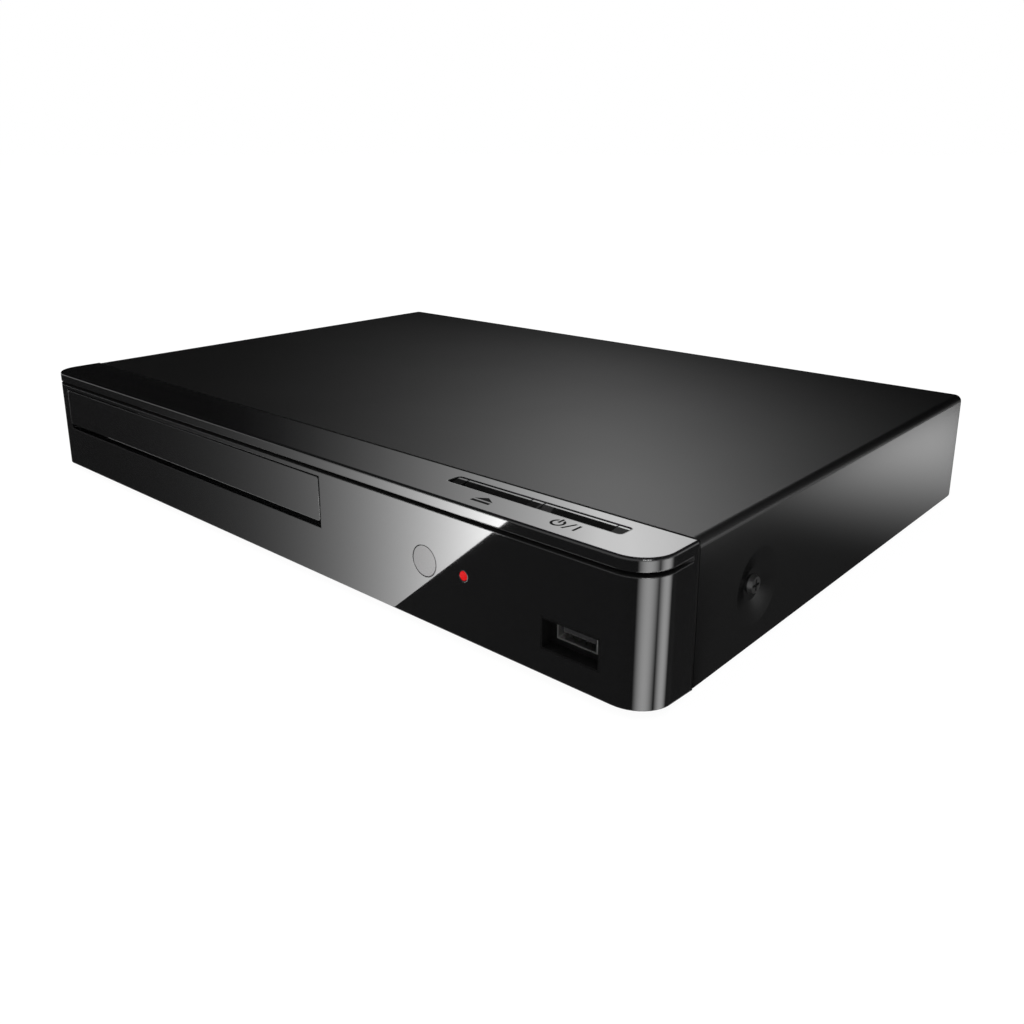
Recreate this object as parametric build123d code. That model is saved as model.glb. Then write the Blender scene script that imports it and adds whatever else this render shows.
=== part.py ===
from build123d import *
import math
import os

# A compact disc player as it comes apart on a bench. Millimetres, +X to the right, +Y to the rear, +Z up.
# The origin is on the table, under the middle of the case.

# Overall case
CASE_WIDTH = 312.0
CASE_DEPTH = 219.6
CASE_HEIGHT = 43.0
FLOOR_GAP = 1.5
SHEET = 0.8
BOARD_THICK = 1.6

# Clearances shared by all pieces
FIT_GAP = 0.3
SEAM_GAP = 0.25
LAP_GAP = 0.1
RUN_GAP = 0.05
OVERRUN = 1.0

# Front bezel
BEZEL_WALL = 2.2
BEZEL_TOP_WALL = 2.0
BEZEL_STRIP = 21.0
BEZEL_CORNER_R = 10.4
BEZEL_EDGE_R = 0.6
BEZEL_RETURN = 11.0
BEZEL_RETURN_THICK = 0.8
BEZEL_RAKE = 1.1
BEZEL_TONGUE = 5.0
BEZEL_TONGUE_THICK = 1.2
GROOVE_DROP = 3.6
GROOVE_HEIGHT = 1.3
GROOVE_DEPTH = 2.4
GROOVE_RUNOUT = 8.0

# Tray door and its pocket
DOOR_INSET = 13.6
DOOR_WIDTH = 173.3
DOOR_HEIGHT = 14.9
DOOR_THICK = 2.6
DOOR_DROP = 6.8
DOOR_EDGE_GAP = 0.45
DOOR_FINGER_GAP = 2.1
DOOR_BACK_GAP = 0.6
DOOR_CORNER_R = 1.0
POCKET_WALL = 1.5

# Disc and tray
DISC_DIAMETER = 120.0
SMALL_DISC_DIAMETER = 80.0
DISC_THICK = 1.2
DISC_RIM_GAP = 0.75
TRAY_WIDTH = 137.0
TRAY_LENGTH = 165.0
TRAY_HEIGHT = 7.6
TRAY_FLOOR = 3.0
TRAY_ABOVE_DOOR = 2.7
TRAY_FRONT_RIM = 6.0
TRAY_TRAVEL = 130.0

# Chassis
CHASSIS_LIFT = 2.1
FOOT_RADIUS = 10.0

# Positions that follow from the driving sizes
X_OUT = CASE_WIDTH / 2
Y_FRONT = -CASE_DEPTH / 2
Y_BACK = CASE_DEPTH / 2
Y_SEAM = Y_FRONT + BEZEL_STRIP
DOOR_LEFT = -X_OUT + DOOR_INSET
DOOR_RIGHT = DOOR_LEFT + DOOR_WIDTH
DOOR_TOP = CASE_HEIGHT - DOOR_DROP
DOOR_BOTTOM = DOOR_TOP - DOOR_HEIGHT
DRIVE_X = (DOOR_LEFT + DOOR_RIGHT) / 2
CHASSIS_Z = FLOOR_GAP + CHASSIS_LIFT
CHASSIS_TOP = CHASSIS_Z + SHEET
TRAY_FRONT_Y = Y_FRONT + DOOR_THICK
TRAY_Z = DOOR_BOTTOM + TRAY_ABOVE_DOOR
TRAY_TOP = TRAY_Z + TRAY_HEIGHT
DISC_FLOOR_Z = TRAY_Z + TRAY_FLOOR
DISC_SEAT_Z = DISC_FLOOR_Z + DISC_THICK
RECESS_R = DISC_DIAMETER / 2 + DISC_RIM_GAP
HUB_Y = TRAY_FRONT_Y + TRAY_FRONT_RIM + RECESS_R


def block(x, y, z):
    """A box between two limits on each axis."""
    size = Box(x[1] - x[0], y[1] - y[0], z[1] - z[0])
    return Pos((x[0] + x[1]) / 2, (y[0] + y[1]) / 2, (z[0] + z[1]) / 2) * size


def about(middle, half):
    """The two limits of a span about its middle."""
    return (middle - half, middle + half)


def post(x, y, radius, z):
    """An upright cylinder between two heights."""
    return Pos(x, y, (z[0] + z[1]) / 2) * Cylinder(radius, z[1] - z[0])


def rod_x(y, z, radius, x):
    """A cylinder along X."""
    return Pos((x[0] + x[1]) / 2, y, z) * Rot(0, 90, 0) * Cylinder(radius, x[1] - x[0])


def rod_y(x, z, radius, y):
    """A cylinder along Y."""
    return Pos(x, (y[0] + y[1]) / 2, z) * Rot(90, 0, 0) * Cylinder(radius, y[1] - y[0])


def drawn_y(profile, y):
    """A profile drawn in X and Z, run from one depth to another."""
    return Pos(0, y[1], 0) * Rot(90, 0, 0) * extrude(profile, y[1] - y[0])


def drawn_x(profile, x):
    """A profile drawn in Y and Z, run from one side to another."""
    return Pos(x[0], 0, 0) * Rot(0, 0, 90) * Rot(90, 0, 0) * extrude(profile, x[1] - x[0])


def drawn_z(profile, z):
    """A plan profile run from one height to another."""
    return Pos(0, 0, z[0]) * extrude(profile, z[1] - z[0])


def polygon(*points):
    """A face through the given corners."""
    return make_face(Polyline(*points, close=True))


def group(pieces):
    """Separate solids kept as one named piece."""
    return Compound(children=list(pieces))


# Front bezel: one gloss moulding with the top strip, the rounded corners and the side returns.
FRONT_BAY = X_OUT - DOOR_RIGHT
IR_SHARE = 0.3853
LED_SHARE = 0.5095
USB_SHARE = 0.809
KEY_SLOT_SHARES = (0.3749, 0.8681)
IR_RADIUS = 4.6
LED_RADIUS = 1.35
WINDOW_GAP = 0.2
LIGHTS_DROP = 21.2
USB_LIFT = 13.9
USB_LENGTH = 15.0
USB_RECESS_WIDTH = 18.0
USB_RECESS_HEIGHT = 8.2
USB_RECESS_DEPTH = 3.8
USB_RECESS_DROP = 0.8
USB_SHELL_WIDTH = 13.2
USB_SHELL_HEIGHT = 5.7
USB_RIM = 0.5
KEY_SLOT_DEPTH = 5.6
KEY_SLOT_SETBACK = 10.6
KEY_SLOT_R = 1.2
IR_X = DOOR_RIGHT + IR_SHARE * FRONT_BAY
LED_X = DOOR_RIGHT + LED_SHARE * FRONT_BAY
USB_X = DOOR_RIGHT + USB_SHARE * FRONT_BAY
LIGHTS_Z = CASE_HEIGHT - LIGHTS_DROP
USB_Z = FLOOR_GAP + USB_LIFT
USB_RECESS_Z = USB_Z - USB_RECESS_DROP
KEY_SLOT_LENGTH = (KEY_SLOT_SHARES[1] - KEY_SLOT_SHARES[0]) * FRONT_BAY
KEY_SLOT_X = DOOR_RIGHT + KEY_SLOT_SHARES[0] * FRONT_BAY + KEY_SLOT_LENGTH / 2
KEY_SLOT_Y = Y_FRONT + KEY_SLOT_SETBACK + KEY_SLOT_DEPTH / 2
STRIP_Z = CASE_HEIGHT - BEZEL_TOP_WALL
POCKET_BACK_Y = TRAY_FRONT_Y + DOOR_BACK_GAP
POCKET_TOP = DOOR_TOP + DOOR_EDGE_GAP
POCKET_BOTTOM = DOOR_BOTTOM - DOOR_FINGER_GAP
RACK_X = 57.0
RACK_HEIGHT = 3.0
RACK_BACKING = 2.0
GEAR_MODULE = 1.0
RACK_NOTCH = RACK_HEIGHT + FIT_GAP + LAP_GAP


def bezel_plan(inset, rear):
    """The plan of the bezel, drawn in from the outside by an inset."""
    y = (Y_FRONT + inset, rear)
    width = CASE_WIDTH - 2 * inset
    plan = Pos(0, (y[0] + y[1]) / 2) * Rectangle(width, y[1] - y[0])
    front = plan.vertices().sort_by(Axis.Y)[:2]
    return fillet(front, BEZEL_CORNER_R - inset)


def bezel_groove():
    """The groove under the top edge, which rounds both corners and runs out on the sides."""
    start = Y_FRONT + BEZEL_CORNER_R
    end = start + GROOVE_RUNOUT
    radius = BEZEL_CORNER_R - GROOVE_DEPTH
    turn = X_OUT - BEZEL_CORNER_R
    side = X_OUT - GROOVE_DEPTH
    floor_y = Y_FRONT + GROOVE_DEPTH
    lines = [
        Line((-X_OUT, end), (-side, start)),
        RadiusArc((-side, start), (-turn, floor_y), radius),
        Line((-turn, floor_y), (turn, floor_y)),
        RadiusArc((turn, floor_y), (side, start), radius),
        Line((side, start), (X_OUT, end)),
        Line((X_OUT, end), (-X_OUT, end)),
    ]
    kept = make_face(lines)
    sheet = Pos(0, (Y_FRONT - OVERRUN + end) / 2) * Rectangle(
        CASE_WIDTH + 2 * OVERRUN, end - Y_FRONT + OVERRUN
    )
    top = CASE_HEIGHT - GROOVE_DROP
    return drawn_z(sheet - kept, (top - GROOVE_HEIGHT, top))


def groove_backing():
    """The thicker band of wall behind the groove."""
    end = Y_FRONT + BEZEL_CORNER_R + GROOVE_RUNOUT
    inset = GROOVE_DEPTH + POCKET_WALL
    plan = bezel_plan(BEZEL_WALL / 2, end) - bezel_plan(inset, end + OVERRUN)
    return drawn_z(plan, (CASE_HEIGHT - GROOVE_DROP - GROOVE_HEIGHT - POCKET_WALL, STRIP_Z))


def key_slot_plan(gap):
    """The long slot of the keys with its rounded corners, smaller by a gap all round."""
    plan = RectangleRounded(KEY_SLOT_LENGTH - 2 * gap, KEY_SLOT_DEPTH - 2 * gap, KEY_SLOT_R - gap)
    return Pos(KEY_SLOT_X, KEY_SLOT_Y) * plan


def front_bezel():
    outer = drawn_z(bezel_plan(0, Y_SEAM), (FLOOR_GAP, CASE_HEIGHT))
    rounded = outer.edges().filter_by(
        lambda edge: edge.center().Z > CASE_HEIGHT - OVERRUN / 2 and edge.center().Y < Y_SEAM - OVERRUN / 2
    )
    outer = fillet(rounded, BEZEL_EDGE_R)
    inside = drawn_z(bezel_plan(BEZEL_WALL, Y_SEAM + OVERRUN), (FLOOR_GAP - OVERRUN, STRIP_Z))
    body = outer - inside + groove_backing() - bezel_groove()
    lip = drawn_z(bezel_plan(0, Y_SEAM), (FLOOR_GAP, FLOOR_GAP + BEZEL_RAKE + BEZEL_RETURN_THICK))
    body += lip & block((-X_OUT, X_OUT), (Y_FRONT, Y_FRONT + BEZEL_RETURN), (FLOOR_GAP, CASE_HEIGHT))
    # A tongue behind the strip carries the front edge of the steel cover.
    tongue_x = X_OUT - BEZEL_WALL - FIT_GAP
    tongue_top = CASE_HEIGHT - SHEET - LAP_GAP
    body += block(
        (-tongue_x, tongue_x), (Y_SEAM - BEZEL_TONGUE_THICK, Y_SEAM + BEZEL_TONGUE),
        (tongue_top - BEZEL_TONGUE_THICK, tongue_top),
    )
    # The pocket of the tray door is a shallow box behind the front wall.
    pocket_x = (DOOR_LEFT - DOOR_EDGE_GAP, DOOR_RIGHT + DOOR_EDGE_GAP)
    body += block(
        (pocket_x[0] - POCKET_WALL, pocket_x[1] + POCKET_WALL),
        (Y_FRONT + BEZEL_WALL / 2, POCKET_BACK_Y + POCKET_WALL),
        (POCKET_BOTTOM - POCKET_WALL, POCKET_TOP + POCKET_WALL),
    )
    body -= block(pocket_x, (Y_FRONT - OVERRUN, POCKET_BACK_Y), (POCKET_BOTTOM, POCKET_TOP))
    tray_half = TRAY_WIDTH / 2 + FIT_GAP + LAP_GAP
    through = (POCKET_BACK_Y - OVERRUN, POCKET_BACK_Y + POCKET_WALL + OVERRUN)
    body -= block(about(DRIVE_X, tray_half), through, (TRAY_Z - FIT_GAP, TRAY_TOP + FIT_GAP))
    rack_middle = DRIVE_X + RACK_X
    rack_x = (rack_middle - GEAR_MODULE - FIT_GAP, rack_middle + GEAR_MODULE + RACK_BACKING + FIT_GAP)
    body -= block(rack_x, through, (TRAY_Z - RACK_NOTCH, TRAY_Z))
    # Remote-control window, power light, USB recess and key slot.
    wall = (Y_FRONT - OVERRUN, Y_FRONT + BEZEL_WALL + OVERRUN)
    body -= rod_y(IR_X, LIGHTS_Z, IR_RADIUS + WINDOW_GAP, wall)
    body -= rod_y(LED_X, LIGHTS_Z, LED_RADIUS + WINDOW_GAP, wall)
    usb_half = USB_RECESS_WIDTH / 2
    usb_tall = USB_RECESS_HEIGHT / 2
    usb_back = Y_FRONT + USB_RECESS_DEPTH
    body += block(
        about(USB_X, usb_half + POCKET_WALL), (Y_FRONT + BEZEL_WALL / 2, usb_back + POCKET_WALL),
        about(USB_RECESS_Z, usb_tall + POCKET_WALL),
    )
    body -= block(about(USB_X, usb_half), (Y_FRONT - OVERRUN, usb_back), about(USB_RECESS_Z, usb_tall))
    body -= block(
        about(USB_X, USB_SHELL_WIDTH / 2 + LAP_GAP), (usb_back - OVERRUN, usb_back + POCKET_WALL + OVERRUN),
        about(USB_Z, USB_SHELL_HEIGHT / 2 + LAP_GAP),
    )
    body -= drawn_z(key_slot_plan(0), (STRIP_Z - OVERRUN, CASE_HEIGHT + OVERRUN))
    # The bottom edge rises towards the front.
    rise = BEZEL_RAKE / BEZEL_STRIP * OVERRUN
    under = polygon(
        (Y_FRONT - OVERRUN, FLOOR_GAP + BEZEL_RAKE + rise), (Y_SEAM + OVERRUN, FLOOR_GAP - rise),
        (Y_SEAM + OVERRUN, FLOOR_GAP - OVERRUN), (Y_FRONT - OVERRUN, FLOOR_GAP - OVERRUN),
    )
    return body - drawn_x(under, (-X_OUT - OVERRUN, X_OUT + OVERRUN))


# Tray door: a flat panel with a rim of stiffening ribs behind it, which fills the pocket.
DOOR_SKIN = 1.8


def tray_door():
    middle = (DOOR_TOP + DOOR_BOTTOM) / 2
    panel = Pos(DRIVE_X, middle) * RectangleRounded(DOOR_WIDTH, DOOR_HEIGHT, DOOR_CORNER_R)
    body = drawn_y(panel, (Y_FRONT, TRAY_FRONT_Y))
    # Behind, the panel is hollowed at both ends, past the tray that it is fixed to.
    tray_half = TRAY_WIDTH / 2
    for low, high in ((DOOR_LEFT, DRIVE_X - tray_half), (DRIVE_X + tray_half, DOOR_RIGHT)):
        body -= block(
            (low + DOOR_SKIN, high - DOOR_SKIN), (Y_FRONT + DOOR_SKIN, TRAY_FRONT_Y + OVERRUN),
            (DOOR_BOTTOM + DOOR_SKIN, DOOR_TOP - DOOR_SKIN),
        )
    return body


# Windows in the front wall: each has a collar that seats on the back of the wall.
WINDOW_COLLAR = 1.1
WINDOW_COLLAR_THICK = 0.8
LIGHT_PIPE_TAIL = 3.0


def ir_window():
    inner = Y_FRONT + BEZEL_WALL
    lens = rod_y(IR_X, LIGHTS_Z, IR_RADIUS, (Y_FRONT, inner))
    return lens + rod_y(IR_X, LIGHTS_Z, IR_RADIUS + WINDOW_COLLAR, (inner, inner + WINDOW_COLLAR_THICK))


def power_light():
    inner = Y_FRONT + BEZEL_WALL
    pipe = rod_y(LED_X, LIGHTS_Z, LED_RADIUS, (Y_FRONT, inner + LIGHT_PIPE_TAIL))
    return pipe + rod_y(LED_X, LIGHTS_Z, LED_RADIUS + WINDOW_COLLAR, (inner, inner + WINDOW_COLLAR_THICK))


# Keys: two bars with a sloping front, in a trough with fixed blocks between and beside them.
KEY_GAP = 0.2
KEY_SPACER = 4.3
KEY_END = 4.2
KEY_BLOCK_DROP = 0.9
KEY_SINK = 0.2
KEY_FLAT = 1.15
KEY_SLOPE_DROP = 2.6
KEY_DEEP = 3.4
KEY_TRAVEL = 0.6
KEY_STEM_R = 1.5
KEY_STEM_LENGTH = 3.6
TROUGH_FLOOR = 1.2
TROUGH_RIM = 2.0
TROUGH_DEEP = 4.0
TROUGH_POST_R = 2.0
KEY_LENGTH = (KEY_SLOT_LENGTH - KEY_SPACER) / 2 - KEY_END - 2 * KEY_GAP
KEY_TOP = CASE_HEIGHT - KEY_SINK
KEY_BOTTOM = KEY_TOP - KEY_DEEP
TROUGH_Z = STRIP_Z - TROUGH_DEEP
KEY_STEM_Z = KEY_BOTTOM - KEY_STEM_LENGTH
KEY_REAR = KEY_SLOT_Y + KEY_SLOT_DEPTH / 2 - KEY_GAP
KEY_FRONT = KEY_SLOT_Y - KEY_SLOT_DEPTH / 2 + KEY_GAP
KEY_STEM_Y = (KEY_FRONT + KEY_REAR) / 2
KEY_MIDDLES = (
    KEY_SLOT_X - KEY_SPACER / 2 - KEY_GAP - KEY_LENGTH / 2,
    KEY_SLOT_X + KEY_SPACER / 2 + KEY_GAP + KEY_LENGTH / 2,
)
SWITCH_GAP = 0.1
KEY_BOARD_DROP = 3.4
KEY_BOARD_TOP = TROUGH_Z - KEY_BOARD_DROP


def key_profile(drop):
    """The section of a key or a fixed block: a narrow flat at the rear and a slope to the front."""
    return polygon(
        (KEY_REAR, KEY_BOTTOM), (KEY_REAR, KEY_TOP), (KEY_REAR - KEY_FLAT, KEY_TOP),
        (KEY_FRONT, KEY_TOP - drop), (KEY_FRONT, KEY_BOTTOM),
    )


def key(middle):
    bar = drawn_x(key_profile(KEY_SLOPE_DROP), about(middle, KEY_LENGTH / 2))
    return bar + post(middle, KEY_STEM_Y, KEY_STEM_R, (KEY_STEM_Z, KEY_BOTTOM))


def key_surround():
    """The trough under the slot, with its fixed blocks and the posts of the key board."""
    deep = KEY_SLOT_DEPTH / 2 + TROUGH_RIM
    long = KEY_SLOT_LENGTH / 2 + TROUGH_RIM
    body = block(about(KEY_SLOT_X, long), about(KEY_SLOT_Y, deep), (TROUGH_Z, STRIP_Z))
    body -= drawn_z(key_slot_plan(0), (TROUGH_Z + TROUGH_FLOOR, STRIP_Z + OVERRUN))
    fixed = drawn_x(key_profile(KEY_BLOCK_DROP), about(KEY_SLOT_X, KEY_SLOT_LENGTH / 2))
    lift = TROUGH_Z + TROUGH_FLOOR
    fixed += block(about(KEY_SLOT_X, KEY_SLOT_LENGTH / 2), (KEY_FRONT, KEY_REAR), (lift, KEY_BOTTOM))
    fixed &= drawn_z(key_slot_plan(KEY_GAP), (lift - OVERRUN, CASE_HEIGHT))
    for middle in KEY_MIDDLES:
        fixed -= block(
            about(middle, KEY_LENGTH / 2 + KEY_GAP), about(KEY_SLOT_Y, KEY_SLOT_DEPTH),
            (lift, CASE_HEIGHT + OVERRUN),
        )
        body -= post(middle, KEY_STEM_Y, KEY_STEM_R + KEY_GAP, (TROUGH_Z - OVERRUN, lift + OVERRUN))
    body += fixed
    for side in (-1, 1):
        x = KEY_SLOT_X + side * (long - TROUGH_POST_R)
        body += post(x, KEY_SLOT_Y, TROUGH_POST_R, (KEY_BOARD_TOP, TROUGH_Z))
    return body


KEY_BOARD_DEPTH = 11.0
SWITCH_WIDTH = 6.0
SWITCH_HEIGHT = 1.6
SWITCH_BUTTON_R = 1.6
SWITCH_TOP = KEY_STEM_Z - KEY_TRAVEL - SWITCH_GAP


def key_board():
    half = KEY_SLOT_LENGTH / 2 + TROUGH_RIM
    return block(
        about(KEY_SLOT_X, half), about(KEY_SLOT_Y, KEY_BOARD_DEPTH / 2),
        (KEY_BOARD_TOP - BOARD_THICK, KEY_BOARD_TOP),
    )


def key_switches():
    """Two small push switches under the key stems."""
    pieces = []
    for middle in KEY_MIDDLES:
        base = block(
            about(middle, SWITCH_WIDTH / 2), about(KEY_STEM_Y, SWITCH_WIDTH / 2),
            (KEY_BOARD_TOP, KEY_BOARD_TOP + SWITCH_HEIGHT),
        )
        pieces.append(base + post(middle, KEY_STEM_Y, SWITCH_BUTTON_R, (KEY_BOARD_TOP, SWITCH_TOP)))
    return group(pieces)


# Top cover: one drawn steel shell with rolled edges, a short rear flange and two dished screw seats.
COVER_BEND_R = 2.4
COVER_REAR_R = 3.2
COVER_FOOT_R = 4.5
COVER_LIFT = 0.35
COVER_FLANGE = 10.0
DISH_SETBACK = 53.5
DISH_LIFT = 17.8
DISH_RADIUS = 11.5
DISH_SEAT_R = 4.8
DISH_DEPTH = 1.8
SCREW_R = 1.5
SCREW_HEAD_R = 3.0
SCREW_HEAD = 1.3
SCREW_LENGTH = 5.0
SCREW_SLACK = 0.2
REAR_SCREW_INSET = 38.0
REAR_SCREW_DROP = 5.5
DISH_Y = Y_FRONT + DISH_SETBACK
DISH_Z = FLOOR_GAP + DISH_LIFT
COVER_Z = FLOOR_GAP + COVER_LIFT
COVER_REAR_Y = Y_BACK - SCREW_HEAD
REAR_SCREW_Z = CASE_HEIGHT - REAR_SCREW_DROP
REAR_SCREW_XS = [step * (X_OUT - REAR_SCREW_INSET) for step in (-1, 0, 1)]


def cover_form(inset, front):
    """The closed form of the cover, drawn in by an inset, with its rear corners and top edges rounded."""
    y = (front, COVER_REAR_Y - inset)
    plan = Pos(0, (y[0] + y[1]) / 2) * Rectangle(CASE_WIDTH - 2 * inset, y[1] - y[0])
    plan = fillet(plan.vertices().sort_by(Axis.Y)[-2:], COVER_REAR_R - inset)
    top = CASE_HEIGHT - inset
    form = drawn_z(plan, (COVER_Z - inset, top))
    rolled = form.edges().filter_by(
        lambda edge: edge.center().Z > top - OVERRUN / 2 and edge.center().Y > front + OVERRUN / 2
    )
    return fillet(rolled, COVER_BEND_R - inset)


def dish(x, outward):
    """A shallow cone pressed into a side of the cover, its wide end at x."""
    cone = Cone(DISH_RADIUS, DISH_SEAT_R, DISH_DEPTH, align=(Align.CENTER, Align.CENTER, Align.MIN))
    return Pos(x, DISH_Y, DISH_Z) * Rot(0, -outward * 90, 0) * cone


def top_cover():
    front = Y_SEAM + SEAM_GAP
    body = cover_form(0, front) - cover_form(SHEET, front - OVERRUN)
    # The rear is open below the flange, between the rounded corners.
    open_half = X_OUT - COVER_REAR_R
    flange_y = (COVER_REAR_Y - COVER_REAR_R, COVER_REAR_Y + OVERRUN)
    body -= block((-open_half, open_half), flange_y, (COVER_Z - OVERRUN, CASE_HEIGHT - COVER_FLANGE))
    # The lower rear corner of each side is rounded off.
    corner = Pos(COVER_REAR_Y - COVER_FOOT_R / 2, COVER_Z + COVER_FOOT_R / 2) * Rectangle(
        COVER_FOOT_R, COVER_FOOT_R
    )
    corner -= Pos(COVER_REAR_Y - COVER_FOOT_R, COVER_Z + COVER_FOOT_R) * Circle(COVER_FOOT_R)
    body -= drawn_x(corner, (-X_OUT - OVERRUN, X_OUT + OVERRUN))
    for outward in (-1, 1):
        body += dish(outward * (X_OUT - SHEET), outward)
        body -= dish(outward * X_OUT, outward)
    body -= rod_x(DISH_Y, DISH_Z, SCREW_R + SCREW_SLACK, (-X_OUT, X_OUT))
    for x in REAR_SCREW_XS:
        body -= rod_y(x, REAR_SCREW_Z, SCREW_R + SCREW_SLACK, flange_y)
    return body


def side_cover_screws():
    """One screw in the dished seat of each side."""
    pieces = []
    for outward in (-1, 1):
        seat = X_OUT - DISH_DEPTH
        head = sorted((outward * seat, outward * (seat + SCREW_HEAD)))
        shank = sorted((outward * (seat - SCREW_LENGTH), outward * seat))
        pieces.append(rod_x(DISH_Y, DISH_Z, SCREW_HEAD_R, head) + rod_x(DISH_Y, DISH_Z, SCREW_R, shank))
    return group(pieces)


def rear_cover_screws():
    pieces = []
    for x in REAR_SCREW_XS:
        head = rod_y(x, REAR_SCREW_Z, SCREW_HEAD_R, (COVER_REAR_Y, Y_BACK))
        pieces.append(head + rod_y(x, REAR_SCREW_Z, SCREW_R, (COVER_REAR_Y - SCREW_LENGTH, COVER_REAR_Y)))
    return group(pieces)


# Loader frame values that the boards and the chassis share: four lugs on rubber grommets.
LOADER_FRONT_GAP = 1.8
LOADER_LENGTH = 166.0
LOADER_WALL = 2.0
LOADER_LIFT = 1.2
LOADER_SIDE_GAP = 0.6
LUG_REACH = 10.0
LUG_WIDTH = 14.0
LUG_THICK = 2.0
LUG_LIFT = 8.2
LUG_SETBACK = 12.0
GROMMET_R = 5.0
GROMMET_NECK_R = 3.4
GROMMET_FLANGE = 1.4
LOADER_POST_R = 4.0
LOADER_IN_X = TRAY_WIDTH / 2 + LOADER_SIDE_GAP
LOADER_OUT_X = LOADER_IN_X + LOADER_WALL
LOADER_FRONT_Y = POCKET_BACK_Y + POCKET_WALL + LOADER_FRONT_GAP
LOADER_REAR_Y = LOADER_FRONT_Y + LOADER_LENGTH
LOADER_Z = CHASSIS_TOP + LOADER_LIFT
LOADER_FLOOR_Z = LOADER_Z + LOADER_WALL
LUG_Z = CHASSIS_TOP + LUG_LIFT
LUG_X = LOADER_OUT_X + LUG_REACH / 2
LUG_YS = (LOADER_FRONT_Y + LUG_SETBACK, LOADER_REAR_Y - LUG_SETBACK)
LUG_PLACES = [(DRIVE_X + side * LUG_X, y) for side in (-1, 1) for y in LUG_YS]
GROMMET_Z = LUG_Z - GROMMET_FLANGE
GROMMET_TOP = LUG_Z + LUG_THICK + GROMMET_FLANGE

# Boards: their places are shared by the standoffs, the sockets and the parts that stand on them.
BOARD_LIFT = 6.0
BOARD_HOLE_INSET = 4.0
BOARD_POST_R = 3.2
BOARD_SCREW_HEAD = 1.6
BOARD_LOADER_GAP = 2.6
BOARD_SIDE_GAP = 6.0
BOARD_SPACING = 4.0
BOARD_ROW_GAP = 18.4
MAIN_SHARE = 0.5574
PANEL_FLANGE = 3.0
SOCKET_DEPTH = 18.0
FRONT_BOARD_END = 9.4
FRONT_BOARD_SIDE_GAP = 8.0
FRONT_BOARD_DEPTH = 38.0
PANEL_Y = COVER_REAR_Y - SHEET - LAP_GAP
PANEL_INNER_Y = PANEL_Y - SHEET
BOARD_Z = CHASSIS_TOP + BOARD_LIFT
BOARD_TOP = BOARD_Z + BOARD_THICK
BOARD_REAR_Y = PANEL_INNER_Y - PANEL_FLANGE
MAIN_LEFT = DRIVE_X + LOADER_OUT_X + LUG_REACH + BOARD_LOADER_GAP
POWER_RIGHT = X_OUT - BOARD_SIDE_GAP
MAIN_WIDTH = MAIN_SHARE * (POWER_RIGHT - MAIN_LEFT)
MAIN_X = (MAIN_LEFT, MAIN_LEFT + MAIN_WIDTH)
POWER_X = (MAIN_X[1] + BOARD_SPACING, POWER_RIGHT)
FRONT_BOARD_X = (IR_X - FRONT_BOARD_END, X_OUT - FRONT_BOARD_SIDE_GAP)
FRONT_BOARD_TOP = USB_Z - USB_SHELL_HEIGHT / 2
FRONT_BOARD_Z = FRONT_BOARD_TOP - BOARD_THICK
FRONT_BOARD_FRONT = Y_FRONT + USB_RECESS_DEPTH + POCKET_WALL + FIT_GAP
FRONT_BOARD_Y = (FRONT_BOARD_FRONT, FRONT_BOARD_FRONT + FRONT_BOARD_DEPTH)
MAIN_Y = (FRONT_BOARD_Y[1] + BOARD_ROW_GAP, BOARD_REAR_Y)
MAIN_DEPTH = MAIN_Y[1] - MAIN_Y[0]


def board_holes(x, y, before, behind):
    """The four screw places of a board, in from its edges and clear of the sockets on it."""
    inset = BOARD_HOLE_INSET
    rows = (y[0] + before + inset, y[1] - behind - inset)
    return [(px, py) for px in (x[0] + inset, x[1] - inset) for py in rows]


MAIN_HOLES = board_holes(MAIN_X, MAIN_Y, 0, SOCKET_DEPTH)
POWER_HOLES = board_holes(POWER_X, MAIN_Y, 0, SOCKET_DEPTH)
FRONT_HOLES = board_holes(FRONT_BOARD_X, FRONT_BOARD_Y, USB_LENGTH, 0)


def circuit_board(x, y, z, holes):
    body = block(x, y, (z, z + BOARD_THICK))
    for px, py in holes:
        body -= post(px, py, SCREW_R + SCREW_SLACK, (z - OVERRUN, z + BOARD_THICK + OVERRUN))
    return body


def board_screws():
    """The screws that hold the three boards on their standoffs."""
    pieces = []
    for holes, top in ((MAIN_HOLES, BOARD_TOP), (POWER_HOLES, BOARD_TOP), (FRONT_HOLES, FRONT_BOARD_TOP)):
        for x, y in holes:
            head = post(x, y, SCREW_HEAD_R, (top, top + BOARD_SCREW_HEAD))
            pieces.append(head + post(x, y, SCREW_R, (top - SCREW_LENGTH, top)))
    return group(pieces)


# Bottom chassis: a steel pan with side flanges, screw ears and vent slots, and the standoffs set in it.
CHASSIS_FLANGE = 5.2
CHASSIS_FRONT_GAP = 1.0
CHASSIS_FLANGE_SETBACK = 6.0
EAR_WIDTH = 20.0
EAR_ABOVE = 6.5
VENT_SLOT = 22.0
VENT_WIDTH = 2.4
VENT_PITCH = 5.6
VENT_COUNT = 9
VENT_ROWS = 3
VENT_ROW_PITCH = 30.0
FOOT_INSET_X = 34.0
FOOT_INSET_Y = 30.0
FOOT_DRAFT = 1.5
FOOT_PIN_R = 2.0
STANDOFF_TAIL_R = 2.2
CHASSIS_X = X_OUT - SHEET - DISH_DEPTH - LAP_GAP
CHASSIS_FRONT_Y = Y_FRONT + BEZEL_WALL + CHASSIS_FRONT_GAP
FOOT_PLACES = [
    (sx * (X_OUT - FOOT_INSET_X), sy * (Y_BACK - FOOT_INSET_Y)) for sx in (-1, 1) for sy in (-1, 1)
]
STANDOFFS = [(x, y, BOARD_POST_R, BOARD_Z) for x, y in MAIN_HOLES + POWER_HOLES]
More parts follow.
